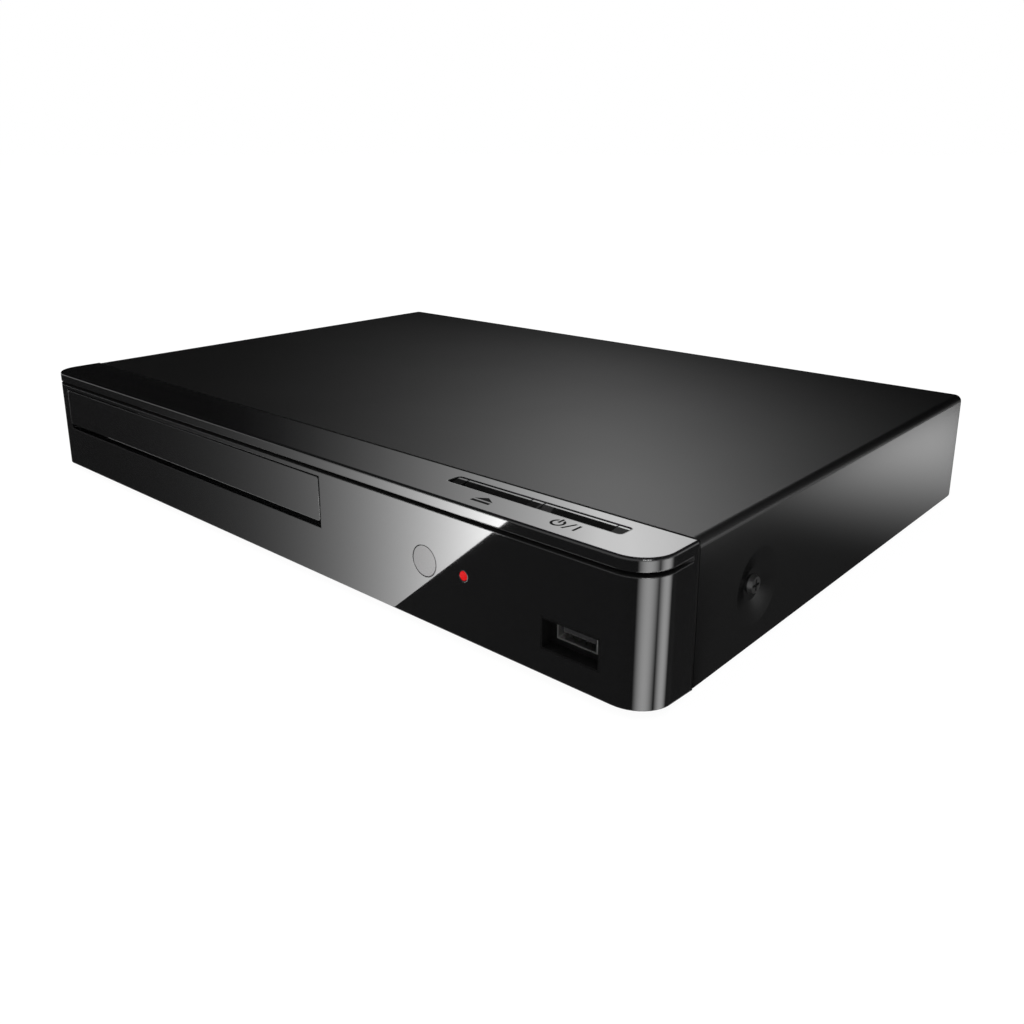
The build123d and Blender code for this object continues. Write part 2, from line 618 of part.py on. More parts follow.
STANDOFFS += [(x, y, BOARD_POST_R, FRONT_BOARD_Z) for x, y in FRONT_HOLES]
STANDOFFS += [(x, y, LOADER_POST_R, GROMMET_Z) for x, y in LUG_PLACES]


def bottom_chassis():
    y = (CHASSIS_FRONT_Y, PANEL_INNER_Y)
    plan = Pos(0, (y[0] + y[1]) / 2) * Rectangle(2 * CHASSIS_X, y[1] - y[0])
    plan = fillet(plan.vertices().sort_by(Axis.Y)[:2], BEZEL_CORNER_R)
    body = drawn_z(plan, (CHASSIS_Z, CHASSIS_TOP))
    flange_y = (Y_SEAM + CHASSIS_FLANGE_SETBACK, PANEL_INNER_Y)
    for side in (-1, 1):
        x = sorted((side * (CHASSIS_X - SHEET), side * CHASSIS_X))
        body += block(x, flange_y, (CHASSIS_Z, CHASSIS_Z + CHASSIS_FLANGE))
        body += block(x, about(DISH_Y, EAR_WIDTH / 2), (CHASSIS_Z, DISH_Z + EAR_ABOVE))
    body -= rod_x(DISH_Y, DISH_Z, SCREW_R + RUN_GAP, (-X_OUT, X_OUT))
    through = (CHASSIS_Z - OVERRUN, CHASSIS_TOP + OVERRUN)
    for px, py, _, _ in STANDOFFS:
        body -= post(px, py, STANDOFF_TAIL_R + RUN_GAP, through)
    for px, py in FOOT_PLACES:
        body -= post(px, py, FOOT_PIN_R + LAP_GAP, through)
    # Vent slots under the power board let the warm parts breathe.
    middle = ((POWER_X[0] + POWER_X[1]) / 2, (MAIN_Y[0] + MAIN_Y[1]) / 2)
    slot = drawn_z(SlotOverall(VENT_SLOT, VENT_WIDTH), through)
    for row in range(VENT_ROWS):
        for step in range(VENT_COUNT):
            y = middle[1] + (step - (VENT_COUNT - 1) / 2) * VENT_PITCH
            x = middle[0] + (row - (VENT_ROWS - 1) / 2) * VENT_ROW_PITCH - VENT_ROW_PITCH
            body -= Pos(x, y, 0) * slot
    return body


def chassis_standoffs():
    """Turned posts whose tails are clinched into the chassis, bored for the screws."""
    pieces = []
    for x, y, radius, top in STANDOFFS:
        body = post(x, y, radius, (CHASSIS_TOP, top)) + post(x, y, STANDOFF_TAIL_R, (CHASSIS_Z, top))
        pieces.append(body - post(x, y, SCREW_R + RUN_GAP, (CHASSIS_TOP, top + OVERRUN)))
    return group(pieces)


def rubber_feet():
    """Four round feet, each with a pin pushed through the chassis."""
    pieces = []
    for x, y in FOOT_PLACES:
        foot = Cone(
            FOOT_RADIUS - FOOT_DRAFT, FOOT_RADIUS, CHASSIS_Z, align=(Align.CENTER, Align.CENTER, Align.MIN)
        )
        pieces.append(Pos(x, y, 0) * foot + post(x, y, FOOT_PIN_R, (0, CHASSIS_TOP)))
    return group(pieces)


# Rear panel: a steel plate with a foot flange, cut for the sockets and pierced with vents.
HDMI_SHARE = 0.27
LAN_SHARE = 0.7
HDMI_WIDTH = 15.2
HDMI_HEIGHT = 6.2
HDMI_DEPTH = 12.0
LAN_WIDTH = 16.0
LAN_HEIGHT = 13.4
MAINS_WIDTH = 24.0
MAINS_HEIGHT = 15.0
REAR_VENT_COUNT = 22
REAR_VENT_PITCH = 6.0
REAR_VENT_WIDTH = 2.6
REAR_VENT_HEIGHT = 14.0
REAR_VENT_Z = 20.0
HDMI_X = MAIN_X[0] + HDMI_SHARE * MAIN_WIDTH
LAN_X = MAIN_X[0] + LAN_SHARE * MAIN_WIDTH
MAINS_X = (POWER_X[0] + POWER_X[1]) / 2


def rear_panel():
    half = X_OUT - COVER_REAR_R - FIT_GAP
    body = block((-half, half), (PANEL_INNER_Y, PANEL_Y), (CHASSIS_Z, CASE_HEIGHT - COVER_BEND_R - FIT_GAP))
    fold = CHASSIS_X - SHEET - FIT_GAP
    foot = (PANEL_INNER_Y - PANEL_FLANGE, PANEL_Y)
    body += block((-fold, fold), foot, (CHASSIS_TOP, CHASSIS_TOP + SHEET))
    through = (PANEL_INNER_Y - OVERRUN, PANEL_Y + OVERRUN)
    sockets = (
        (HDMI_X, HDMI_WIDTH, HDMI_HEIGHT), (LAN_X, LAN_WIDTH, LAN_HEIGHT),
        (MAINS_X, MAINS_WIDTH, MAINS_HEIGHT),
    )
    for middle, width, height in sockets:
        body -= block(
            about(middle, width / 2 + LAP_GAP), through, (BOARD_TOP - LAP_GAP, BOARD_TOP + height + LAP_GAP)
        )
    for screw in REAR_SCREW_XS:
        body -= rod_y(screw, REAR_SCREW_Z, SCREW_R + RUN_GAP, through)
    slot = Rot(0, 0, 90) * SlotOverall(REAR_VENT_HEIGHT, REAR_VENT_WIDTH)
    for step in range(REAR_VENT_COUNT):
        offset = (step - (REAR_VENT_COUNT - 1) / 2) * REAR_VENT_PITCH
        body -= drawn_y(Pos(DRIVE_X + offset, REAR_VENT_Z) * slot, through)
    return body


# USB socket: a folded metal shell round a moulded tongue.
USB_SHEET = 0.4
USB_BLOCK = 5.0
USB_TONGUE_WIDTH = 10.4
USB_TONGUE = 1.8
USB_TONGUE_SETBACK = 1.0
USB_FRONT_Y = Y_FRONT + USB_RECESS_DEPTH - USB_RIM


def usb_shell():
    half = USB_SHELL_WIDTH / 2
    tall = USB_SHELL_HEIGHT / 2
    y = (USB_FRONT_Y, USB_FRONT_Y + USB_LENGTH)
    body = block(about(USB_X, half), y, about(USB_Z, tall))
    return body - block(
        about(USB_X, half - USB_SHEET), (y[0] - OVERRUN, y[1] + OVERRUN), about(USB_Z, tall - USB_SHEET)
    )


def usb_insert():
    half = USB_SHELL_WIDTH / 2 - USB_SHEET
    tall = USB_SHELL_HEIGHT / 2 - USB_SHEET
    rear = USB_FRONT_Y + USB_LENGTH
    body = block(about(USB_X, half), (rear - USB_BLOCK, rear), about(USB_Z, tall))
    tongue = (USB_FRONT_Y + USB_TONGUE_SETBACK, rear)
    return body + block(about(USB_X, USB_TONGUE_WIDTH / 2), tongue, about(USB_Z, USB_TONGUE / 2))


# Remote-control receiver and power LED: small bodies on holders that stand on the front board.
HOLDER_WIDTH = 6.0
HOLDER_DEPTH = 3.0
RECEIVER_R = 2.4
LED_BODY_R = 1.5
HOLDER_Y = Y_FRONT + BEZEL_WALL + LIGHT_PIPE_TAIL + LED_BODY_R + FIT_GAP


def upright_sensor(x, radius):
    """A small component whose round face looks out of the front, on an upright holder."""
    front = HOLDER_Y - LED_BODY_R
    y = (front, front + HOLDER_DEPTH)
    body = block(about(x, HOLDER_WIDTH / 2), y, (FRONT_BOARD_TOP, LIGHTS_Z + HOLDER_WIDTH / 2))
    return body + rod_y(x, LIGHTS_Z, radius, (front - FIT_GAP / 2, front))


# Main board parts: chips, a finned heatsink, white connectors and the two rear sockets.
CHIP_THICK = 1.6
MAIN_CHIP = 27.0
MEMORY_WIDTH = 10.0
MEMORY_LENGTH = 14.0
CHIP_SPACING = 28.0
MEMORY_SHARE = 0.21
MAIN_CHIP_SHARE = 0.54
SINK_SIDE = 38.0
SINK_BASE = 2.0
SINK_HEIGHT = 13.0
FIN_COUNT = 9
FIN_THICK = 1.2
CONNECTOR_LENGTH = 22.0
CONNECTOR_WIDTH = 5.0
CONNECTOR_HEIGHT = 5.0
MAIN_MIDDLE_X = (MAIN_X[0] + MAIN_X[1]) / 2
MAIN_CHIP_Y = MAIN_Y[0] + MAIN_CHIP_SHARE * MAIN_DEPTH


def board_chips():
    """The main processor and its memory and flash chips."""
    level = (BOARD_TOP, BOARD_TOP + CHIP_THICK)
    pieces = [block(about(MAIN_MIDDLE_X, MAIN_CHIP / 2), about(MAIN_CHIP_Y, MAIN_CHIP / 2), level)]
    for side in (-1, 1):
        pieces.append(
            block(
                about(MAIN_MIDDLE_X + side * MEMORY_SHARE * MAIN_WIDTH, MEMORY_LENGTH / 2 - FIT_GAP),
                about(MAIN_CHIP_Y - CHIP_SPACING, MEMORY_WIDTH / 2), level,
            )
        )
        pieces.append(
            block(
                about(MAIN_MIDDLE_X + side * MEMORY_SHARE * MAIN_WIDTH, MEMORY_WIDTH / 2),
                about(MAIN_CHIP_Y + CHIP_SPACING, MEMORY_LENGTH / 2), level,
            )
        )
    return group(pieces)


def heatsink():
    base = BOARD_TOP + CHIP_THICK
    half = SINK_SIDE / 2
    body = block(about(MAIN_MIDDLE_X, half), about(MAIN_CHIP_Y, half), (base, base + SINK_BASE))
    pitch = (SINK_SIDE - FIN_THICK) / (FIN_COUNT - 1)
    for step in range(FIN_COUNT):
        x = MAIN_MIDDLE_X - half + FIN_THICK / 2 + step * pitch
        body += block(about(x, FIN_THICK / 2), about(MAIN_CHIP_Y, half), (base, base + SINK_HEIGHT))
    return body


# Board connectors: the white headers that the cables plug into.
LINK_SPAN = 8.0
FRONT_LINK_X = (FRONT_BOARD_X[0] + MAIN_X[1]) / 2
LINK_INSET = BOARD_HOLE_INSET + SCREW_HEAD_R + CONNECTOR_WIDTH
FRONT_LINK_Y = FRONT_BOARD_Y[1] - LINK_INSET
MAIN_LINK_Y = MAIN_Y[0] + LINK_INSET
POWER_LINK_Y = MAIN_Y[0] + CONNECTOR_LENGTH + LINK_SPAN
LOADER_LINK_Y = MAIN_Y[0] + CONNECTOR_LENGTH + LINK_SPAN
MAIN_LINK_X = MAIN_X[1] - CONNECTOR_WIDTH / 2
POWER_LINK_X = POWER_X[0] + CONNECTOR_WIDTH / 2
LOADER_LINK_X = MAIN_X[0] + CONNECTOR_WIDTH / 2


def board_connectors():
    long = CONNECTOR_LENGTH / 2
    wide = CONNECTOR_WIDTH / 2
    level = (BOARD_TOP, BOARD_TOP + CONNECTOR_HEIGHT)
    front_level = (FRONT_BOARD_TOP, FRONT_BOARD_TOP + CONNECTOR_HEIGHT)
    return group(
        [
            block(about(FRONT_LINK_X, long), about(FRONT_LINK_Y, wide), front_level),
            block(about(FRONT_LINK_X, long), about(MAIN_LINK_Y, wide), level),
            block(about(MAIN_LINK_X, wide), about(POWER_LINK_Y, long), level),
            block(about(POWER_LINK_X, wide), about(POWER_LINK_Y, long), level),
            block(about(LOADER_LINK_X, wide), about(LOADER_LINK_Y, long), level),
        ]
    )


# Rear sockets: metal boxes, open at the rear, with their insulators inside.
SOCKET_SHEET = 0.5
HDMI_TONGUE_WIDTH = 11.0
HDMI_TONGUE = 1.2
HDMI_CHAMFER = 1.6
HDMI_BACK = 3.0
LAN_MOUTH_WIDTH = 11.8
LAN_MOUTH_HEIGHT = 8.4
LAN_LATCH_WIDTH = 6.2
LAN_LATCH_HEIGHT = 2.2
LAN_FLOOR = 2.0
LAN_MOUTH_DEPTH = 14.0


def hdmi_outline(inset):
    """The mouth of the socket: a low box whose lower corners are cut away."""
    half = HDMI_WIDTH / 2 - inset
    tall = HDMI_HEIGHT - inset
    cut = HDMI_CHAMFER
    outline = polygon(
        (-half + cut, inset), (half - cut, inset), (half, inset + cut), (half, tall), (-half, tall),
        (-half, inset + cut),
    )
    return Pos(HDMI_X, BOARD_TOP) * outline


def hdmi_socket():
    front = PANEL_Y - HDMI_DEPTH
    body = drawn_y(hdmi_outline(0), (front, PANEL_Y))
    body -= drawn_y(hdmi_outline(SOCKET_SHEET), (front + HDMI_BACK, PANEL_Y + OVERRUN))
    middle = BOARD_TOP + HDMI_HEIGHT / 2
    tongue = (front, PANEL_Y - HDMI_CHAMFER)
    return body + block(about(HDMI_X, HDMI_TONGUE_WIDTH / 2), tongue, about(middle, HDMI_TONGUE / 2))


def lan_socket():
    y = (PANEL_Y - SOCKET_DEPTH, PANEL_Y)
    body = block(about(LAN_X, LAN_WIDTH / 2), y, (BOARD_TOP, BOARD_TOP + LAN_HEIGHT))
    mouth = (PANEL_Y - LAN_MOUTH_DEPTH, PANEL_Y + OVERRUN)
    sill = BOARD_TOP + LAN_FLOOR + LAN_LATCH_HEIGHT
    body -= block(about(LAN_X, LAN_MOUTH_WIDTH / 2), mouth, (sill, sill + LAN_MOUTH_HEIGHT))
    return body - block(about(LAN_X, LAN_LATCH_WIDTH / 2), mouth, (sill - LAN_LATCH_HEIGHT, sill))


# Mains inlet: a moulded block with the figure-eight mouth and its two round pins.
INLET_LOBE_R = 4.3
INLET_PIN_SPACING = 8.6
INLET_PIN_R = 1.2
INLET_MOUTH_DEPTH = 12.0
INLET_PIN_SETBACK = 2.0


def inlet_mouth():
    """The figure-eight outline round the two pins."""
    half = INLET_PIN_SPACING / 2
    middle = BOARD_TOP + MAINS_HEIGHT / 2
    mouth = Pos(MAINS_X - half, middle) * Circle(INLET_LOBE_R)
    mouth += Pos(MAINS_X + half, middle) * Circle(INLET_LOBE_R)
    return mouth + Pos(MAINS_X, middle) * Rectangle(INLET_PIN_SPACING, 2 * INLET_LOBE_R - INLET_PIN_R)


def mains_inlet():
    y = (PANEL_Y - SOCKET_DEPTH, PANEL_Y)
    body = block(about(MAINS_X, MAINS_WIDTH / 2), y, (BOARD_TOP, BOARD_TOP + MAINS_HEIGHT))
    return body - drawn_y(inlet_mouth(), (PANEL_Y - INLET_MOUTH_DEPTH, PANEL_Y + OVERRUN))


def inlet_pins():
    middle = BOARD_TOP + MAINS_HEIGHT / 2
    y = (PANEL_Y - INLET_MOUTH_DEPTH, PANEL_Y - INLET_PIN_SETBACK)
    return group(
        rod_y(MAINS_X + side * INLET_PIN_SPACING / 2, middle, INLET_PIN_R, y) for side in (-1, 1)
    )


# Power board parts: the transformer with its core and bobbin, and the upright capacitors.
CORE_WIDTH = 30.0
CORE_DEPTH = 26.0
CORE_HEIGHT = 8.0
BOBBIN_SIDE = 20.0
BOBBIN_HEIGHT = 22.0
BOBBIN_FLANGE = 1.5
POWER_MIDDLE_X = (POWER_X[0] + POWER_X[1]) / 2
TRANSFORMER_SHARE = 0.5
TRANSFORMER_Y = MAIN_Y[0] + TRANSFORMER_SHARE * MAIN_DEPTH
BULK_CAP_R = 9.0
CAP_HEADROOM = 5.8
SMALL_CAP_R = 5.0
SMALL_CAP_HEIGHT = 16.0
BULK_CAP_SHARE = 0.73
SMALL_CAP_PITCH = 13.0
SMALL_CAP_SHARE = 0.33
SMALL_CAP_COUNT = 3
BULK_CAP_TOP = CASE_HEIGHT - SHEET - CAP_HEADROOM


def transformer():
    """Two core halves round a bobbin with end flanges."""
    x = about(POWER_MIDDLE_X, BOBBIN_SIDE / 2)
    y = about(TRANSFORMER_Y, BOBBIN_SIDE / 2)
    top = BOARD_TOP + BOBBIN_HEIGHT
    body = block(x, y, (BOARD_TOP, top))
    middle = (BOARD_TOP + top) / 2
    body += block(
        about(POWER_MIDDLE_X, CORE_WIDTH / 2), about(TRANSFORMER_Y, BOBBIN_SIDE / 2 - BOBBIN_FLANGE),
        about(middle, CORE_HEIGHT / 2),
    )
    for low, high in ((BOARD_TOP, BOARD_TOP + BOBBIN_FLANGE), (top - BOBBIN_FLANGE, top)):
        body += block(x, about(TRANSFORMER_Y, CORE_DEPTH / 2), (low, high))
    return body


def capacitors():
    bulk_y = MAIN_Y[0] + BULK_CAP_SHARE * MAIN_DEPTH
    pieces = [post(POWER_MIDDLE_X, bulk_y, BULK_CAP_R, (BOARD_TOP, BULK_CAP_TOP))]
    for step in range(SMALL_CAP_COUNT):
        x = POWER_MIDDLE_X + (step - (SMALL_CAP_COUNT - 1) / 2) * SMALL_CAP_PITCH
        y = MAIN_Y[0] + SMALL_CAP_SHARE * MAIN_DEPTH
        pieces.append(post(x, y, SMALL_CAP_R, (BOARD_TOP, BOARD_TOP + SMALL_CAP_HEIGHT)))
    return group(pieces)


# Cables: flat ribbons and a bundle of wires that arch from header to header.
RIBBON_THICK = 0.4
RIBBON_WIDTH = 18.0
RIBBON_RISE = 6.0
RIBBON_BEND = 2.0
WIRE_R = 0.7
WIRE_COUNT = 6
WIRE_PITCH = 3.0


def arch(start, end):
    """A path that rises out of one header, crosses and drops into another."""
    peak = max(start[1], end[1]) + RIBBON_RISE
    return FilletPolyline(start, (start[0], peak), (end[0], peak), end, radius=RIBBON_BEND)


def front_ribbon():
    path = arch(
        (FRONT_LINK_Y, FRONT_BOARD_TOP + CONNECTOR_HEIGHT), (MAIN_LINK_Y, BOARD_TOP + CONNECTOR_HEIGHT)
    )
    return drawn_x(trace(path, RIBBON_THICK), about(FRONT_LINK_X, RIBBON_WIDTH / 2))


def power_harness():
    level = BOARD_TOP + CONNECTOR_HEIGHT
    path = arch((MAIN_LINK_X, level), (POWER_LINK_X, level))
    wires = []
    for step in range(WIRE_COUNT):
        y = POWER_LINK_Y + (step - (WIRE_COUNT - 1) / 2) * WIRE_PITCH
        route = Pos(0, y, 0) * Rot(90, 0, 0) * path
        wires.append(sweep(Plane(route @ 0, z_dir=route % 0) * Circle(WIRE_R), route))
    return group(wires)


# Disc tray: a floor with the two disc recesses, a slot for the hub and pickup, side rims and a rack below.
TRAY_SLOT_HALF = 24.0
TRAY_REAR_RIM = 6.5
TRAY_REAR_LAND = 8.0
SMALL_RECESS_DEPTH = 1.4
FINGER_R = 13.0
FINGER_SHARE = 0.5
TRAY_HALF = TRAY_WIDTH / 2
TRAY_REAR_Y = TRAY_FRONT_Y + TRAY_LENGTH

# Gear train: module, tooth counts and the tooth proportions in modules.
DRIVE_TEETH = 30
PINION_TEETH = 14
PRESSURE_DEG = 25.0
ADDENDUM_SHARE = 0.8
DEDENDUM_SHARE = 1.1
BACKLASH = 0.16
GEAR_SETBACK = 17.5
RACK_END_TEETH = 2
TOOTH_PITCH = math.pi * GEAR_MODULE
ADDENDUM = ADDENDUM_SHARE * GEAR_MODULE
DEDENDUM = DEDENDUM_SHARE * GEAR_MODULE
PRESSURE = math.radians(PRESSURE_DEG)
DRIVE_R = GEAR_MODULE * DRIVE_TEETH / 2
PINION_R = GEAR_MODULE * PINION_TEETH / 2
GEAR_Y = LOADER_FRONT_Y + GEAR_SETBACK
DRIVE_GEAR_X = RACK_X - DRIVE_R
PULLEY_X = DRIVE_GEAR_X - DRIVE_R - PINION_R
GEAR_TOP = TRAY_Z - FIT_GAP - LAP_GAP
GEAR_Z = TRAY_Z - RACK_HEIGHT


def rack_teeth():
    """The plan of the rack: straight-sided teeth that point at the drive gear, on a backing strip."""
    count = RACK_END_TEETH + math.ceil(TRAY_TRAVEL / TOOTH_PITCH) + RACK_END_TEETH
    tip = RACK_X - ADDENDUM
    root = RACK_X + DEDENDUM
    half = TOOTH_PITCH / 4 - BACKLASH / 4
    tip_half = half - ADDENDUM * math.tan(PRESSURE)
    root_half = half + DEDENDUM * math.tan(PRESSURE)
    points = []
    for step in range(count):
        y = GEAR_Y + (step - RACK_END_TEETH) * TOOTH_PITCH
        points += [(root, y - root_half), (tip, y - tip_half), (tip, y + tip_half), (root, y + root_half)]
    back = RACK_X + DEDENDUM + RACK_BACKING
    first, last = points[0][1], points[-1][1]
    return polygon(*points, (back, last), (back, first))


def disc_tray():
    body = block((-TRAY_HALF, TRAY_HALF), (TRAY_FRONT_Y, TRAY_REAR_Y), (TRAY_Z, TRAY_TOP))
    above = TRAY_TOP + OVERRUN
    body -= post(0, HUB_Y, RECESS_R, (DISC_FLOOR_Z, above))
    small = SMALL_DISC_DIAMETER / 2 + DISC_RIM_GAP
    body -= post(0, HUB_Y, small, (DISC_FLOOR_Z - SMALL_RECESS_DEPTH, above))
    # The hub slot is open to the rear, so that the raised turntable passes it.
    body -= post(0, HUB_Y, TRAY_SLOT_HALF, (TRAY_Z - OVERRUN, above))
    body -= block(
        (-TRAY_SLOT_HALF, TRAY_SLOT_HALF), (HUB_Y, TRAY_REAR_Y + OVERRUN), (TRAY_Z - OVERRUN, above)
    )
    # Behind the disc the tray is a low land between its side rims.
    land = HUB_Y + RECESS_R + TRAY_REAR_LAND
    inner = TRAY_HALF - TRAY_REAR_RIM
    body -= block((-inner, inner), (land, TRAY_REAR_Y + OVERRUN), (DISC_FLOOR_Z, above))
    # Finger notches beside the disc recess.
    for side in (-1, 1):
        notch = post(side * RECESS_R, HUB_Y - FINGER_SHARE * RECESS_R, FINGER_R, (DISC_FLOOR_Z, above))
        body -= notch & block((-inner, inner), (TRAY_FRONT_Y, TRAY_REAR_Y), (DISC_FLOOR_Z, above))
    body += drawn_z(rack_teeth(), (TRAY_Z - RACK_HEIGHT, TRAY_Z))
    return Pos(DRIVE_X, 0, 0) * body


def tooth_half_angle(radius, pitch_r):
    """Half the angle that a tooth takes up at a radius, on an involute flank."""
    base = pitch_r * math.cos(PRESSURE)
    lean = math.acos(min(base / radius, 1))
    at_pitch = (TOOTH_PITCH - BACKLASH) / (4 * pitch_r)
    return at_pitch + (math.tan(PRESSURE) - PRESSURE) - (math.tan(lean) - lean)


def gear_plan(teeth, phase):
    """A spur gear's outline, with one tooth centred on the phase angle."""
    pitch_r = GEAR_MODULE * teeth / 2
    tip = pitch_r + ADDENDUM
    root = pitch_r - DEDENDUM
    start = max(root, pitch_r * math.cos(PRESSURE))

    def at(radius, angle):
        return (radius * math.cos(angle), radius * math.sin(angle))

    lines = []
    step = 2 * math.pi / teeth
    for index in range(teeth):
        centre = phase + index * step
        for side in (-1, 1):
            low, mid, high = [
                at(r, centre + side * tooth_half_angle(r, pitch_r)) for r in (start, pitch_r, tip)
            ]
            lines.append(ThreePointArc(low, mid, high))
            if root < start:
                lines.append(Line(at(root, centre + side * tooth_half_angle(start, pitch_r)), low))
        edge = tooth_half_angle(tip, pitch_r)
        lines.append(ThreePointArc(at(tip, centre - edge), at(tip, centre), at(tip, centre + edge)))
        foot = tooth_half_angle(start, pitch_r)
        valley = [at(root, centre + angle) for angle in (foot, step / 2, step - foot)]
        lines.append(ThreePointArc(*valley))
    return make_face(lines)


# The gears turn on posts of the loader frame. The pulley gear is driven by a belt from the motor.
GEAR_POST_R = 2.0
GEAR_HUB_R = 4.0
GEAR_HUB_DROP = 2.4
PULLEY_R = 13.0
PULLEY_FLANGE = 1.2
PULLEY_DROP = 1.2
PULLEY_THICK = 4.4
BELT_WIDE = 1.2
BELT_TALL = 1.6
BELT_GAP = 0.15
MOTOR_PULLEY_R = 3.2
MOTOR_X = -24.0
MOTOR_R = 10.5
MOTOR_SHAFT_R = 1.0
MOTOR_CUP_WALL = 1.5
MOTOR_CUP_LID = 1.0
MOTOR_BOSS_R = 3.0
PULLEY_TOP = GEAR_Z - PULLEY_DROP
PULLEY_Z = PULLEY_TOP - PULLEY_THICK
BELT_Z = (PULLEY_TOP + PULLEY_Z) / 2
MOTOR_Z = CHASSIS_TOP + FIT_GAP
MOTOR_TOP = PULLEY_Z - FIT_GAP - MOTOR_CUP_LID


def drive_gear():
    body = drawn_z(gear_plan(DRIVE_TEETH, math.pi / DRIVE_TEETH), (GEAR_Z, GEAR_TOP))
    body += post(0, 0, GEAR_HUB_R, (GEAR_Z - GEAR_HUB_DROP, GEAR_TOP))
    body -= post(0, 0, GEAR_POST_R + RUN_GAP, (GEAR_Z - GEAR_HUB_DROP - OVERRUN, GEAR_TOP + OVERRUN))
    return Pos(DRIVE_X + DRIVE_GEAR_X, GEAR_Y, 0) * body


def pulley_wheel(radius, z):
    """A wheel with a square belt groove round its rim."""
    body = post(0, 0, radius + PULLEY_FLANGE, z)
    groove = BELT_TALL / 2 + FIT_GAP
    ring = post(0, 0, radius + PULLEY_FLANGE + OVERRUN, about(BELT_Z, groove))
    return body - (ring - post(0, 0, radius, about(BELT_Z, groove)))


def pulley_gear():
    # With a gap of the drive gear on its +X side and an even tooth count, another faces the pinion.
    body = drawn_z(gear_plan(PINION_TEETH, 0), (PULLEY_TOP, GEAR_TOP))
    body += pulley_wheel(PULLEY_R, (PULLEY_Z, PULLEY_TOP))
    body -= post(0, 0, GEAR_POST_R + RUN_GAP, (PULLEY_Z - OVERRUN, GEAR_TOP + OVERRUN))
    return Pos(DRIVE_X + PULLEY_X, GEAR_Y, 0) * body


def motor_pulley():
    body = pulley_wheel(MOTOR_PULLEY_R, (PULLEY_Z, PULLEY_TOP))
    body -= post(0, 0, MOTOR_SHAFT_R + RUN_GAP, (PULLEY_Z - OVERRUN, PULLEY_TOP + OVERRUN))
    return Pos(DRIVE_X + MOTOR_X, GEAR_Y, 0) * body


def belt_loop(grow):
    """The plan round both pulleys, larger than their grooves by a margin."""
    big = Pos(PULLEY_X, GEAR_Y) * Circle(PULLEY_R + grow)
    small = Pos(MOTOR_X, GEAR_Y) * Circle(MOTOR_PULLEY_R + grow)
    return make_hull(big.edges() + small.edges())


def drive_belt():
    level = about(BELT_Z, BELT_TALL / 2)
    body = drawn_z(belt_loop(BELT_GAP + BELT_WIDE), level) - drawn_z(belt_loop(BELT_GAP), level)
    return Pos(DRIVE_X, 0, 0) * body


def loading_motor():
    body = post(0, 0, MOTOR_R, (MOTOR_Z, MOTOR_TOP))
    body += post(0, 0, MOTOR_BOSS_R, (MOTOR_TOP, MOTOR_TOP + MOTOR_CUP_LID))
    body += post(0, 0, MOTOR_SHAFT_R, (MOTOR_TOP, PULLEY_TOP))
    return Pos(DRIVE_X + MOTOR_X, GEAR_Y, 0) * body


# Traverse: a deck hinged at the rear, whose front pins ride in the sloping slots of the cam slider.
DECK_HALF = 50.0
DECK_THICK = 2.0
DECK_BELOW_TRAY = 7.9
DECK_MARGIN = 2.0
DECK_FRONT_GAP = 20.0
HINGE_SETBACK = 8.0
HINGE_R = 2.5
HINGE_TAIL = 3.0
HINGE_BRACKET = 5.0
HINGE_BRACKET_HALF = 5.0
HINGE_ABOVE = 3.0
DECK_RIB = 2.5
DECK_RIB_HALF = 40.0
DECK_RIB_HEIGHT = 5.7
LIFT_PIN_R = 2.0
LIFT_PIN_X = 26.0
LIFT_PIN_ABOVE = 1.5
LIFT_AT_HUB = 5.4
CAM_TRAVEL = 20.0
CAM_THICK = 4.0
CAM_GAP = 2.8
CAM_ABOVE = 3.0
CAM_END = 4.5
CAM_GUIDE = 1.2
CAM_GUIDE_HEIGHT = 4.0
DECK_TOP = TRAY_Z - DECK_BELOW_TRAY
DECK_Z = DECK_TOP - DECK_THICK
DECK_FRONT_Y = HUB_Y - DECK_FRONT_GAP
DECK_MIDDLE_Z = (DECK_Z + DECK_TOP) / 2
HINGE_Y = LOADER_REAR_Y - HINGE_SETBACK
LIFT_PIN_Z = DECK_TOP + LIFT_PIN_ABOVE
CAM_Y = (DECK_FRONT_Y - DECK_RIB - CAM_GAP - CAM_THICK, DECK_FRONT_Y - DECK_RIB - CAM_GAP)
CAM_MIDDLE_Y = (CAM_Y[0] + CAM_Y[1]) / 2
TILT = LIFT_AT_HUB / (HINGE_Y - HUB_Y)
LIFT_AT_PIN = TILT * (HINGE_Y - CAM_MIDDLE_Y)
WINDOW_X = DECK_HALF + DECK_MARGIN
WINDOW_Y = (DECK_FRONT_Y - DECK_RIB - DECK_MARGIN, HINGE_Y + HINGE_BRACKET_HALF)
CAM_Z = LOADER_FLOOR_Z + FIT_GAP
CAM_TOP = LIFT_PIN_Z + CAM_ABOVE
CAM_X = (-LIFT_PIN_X - CAM_TRAVEL - CAM_END, LIFT_PIN_X + CAM_END)

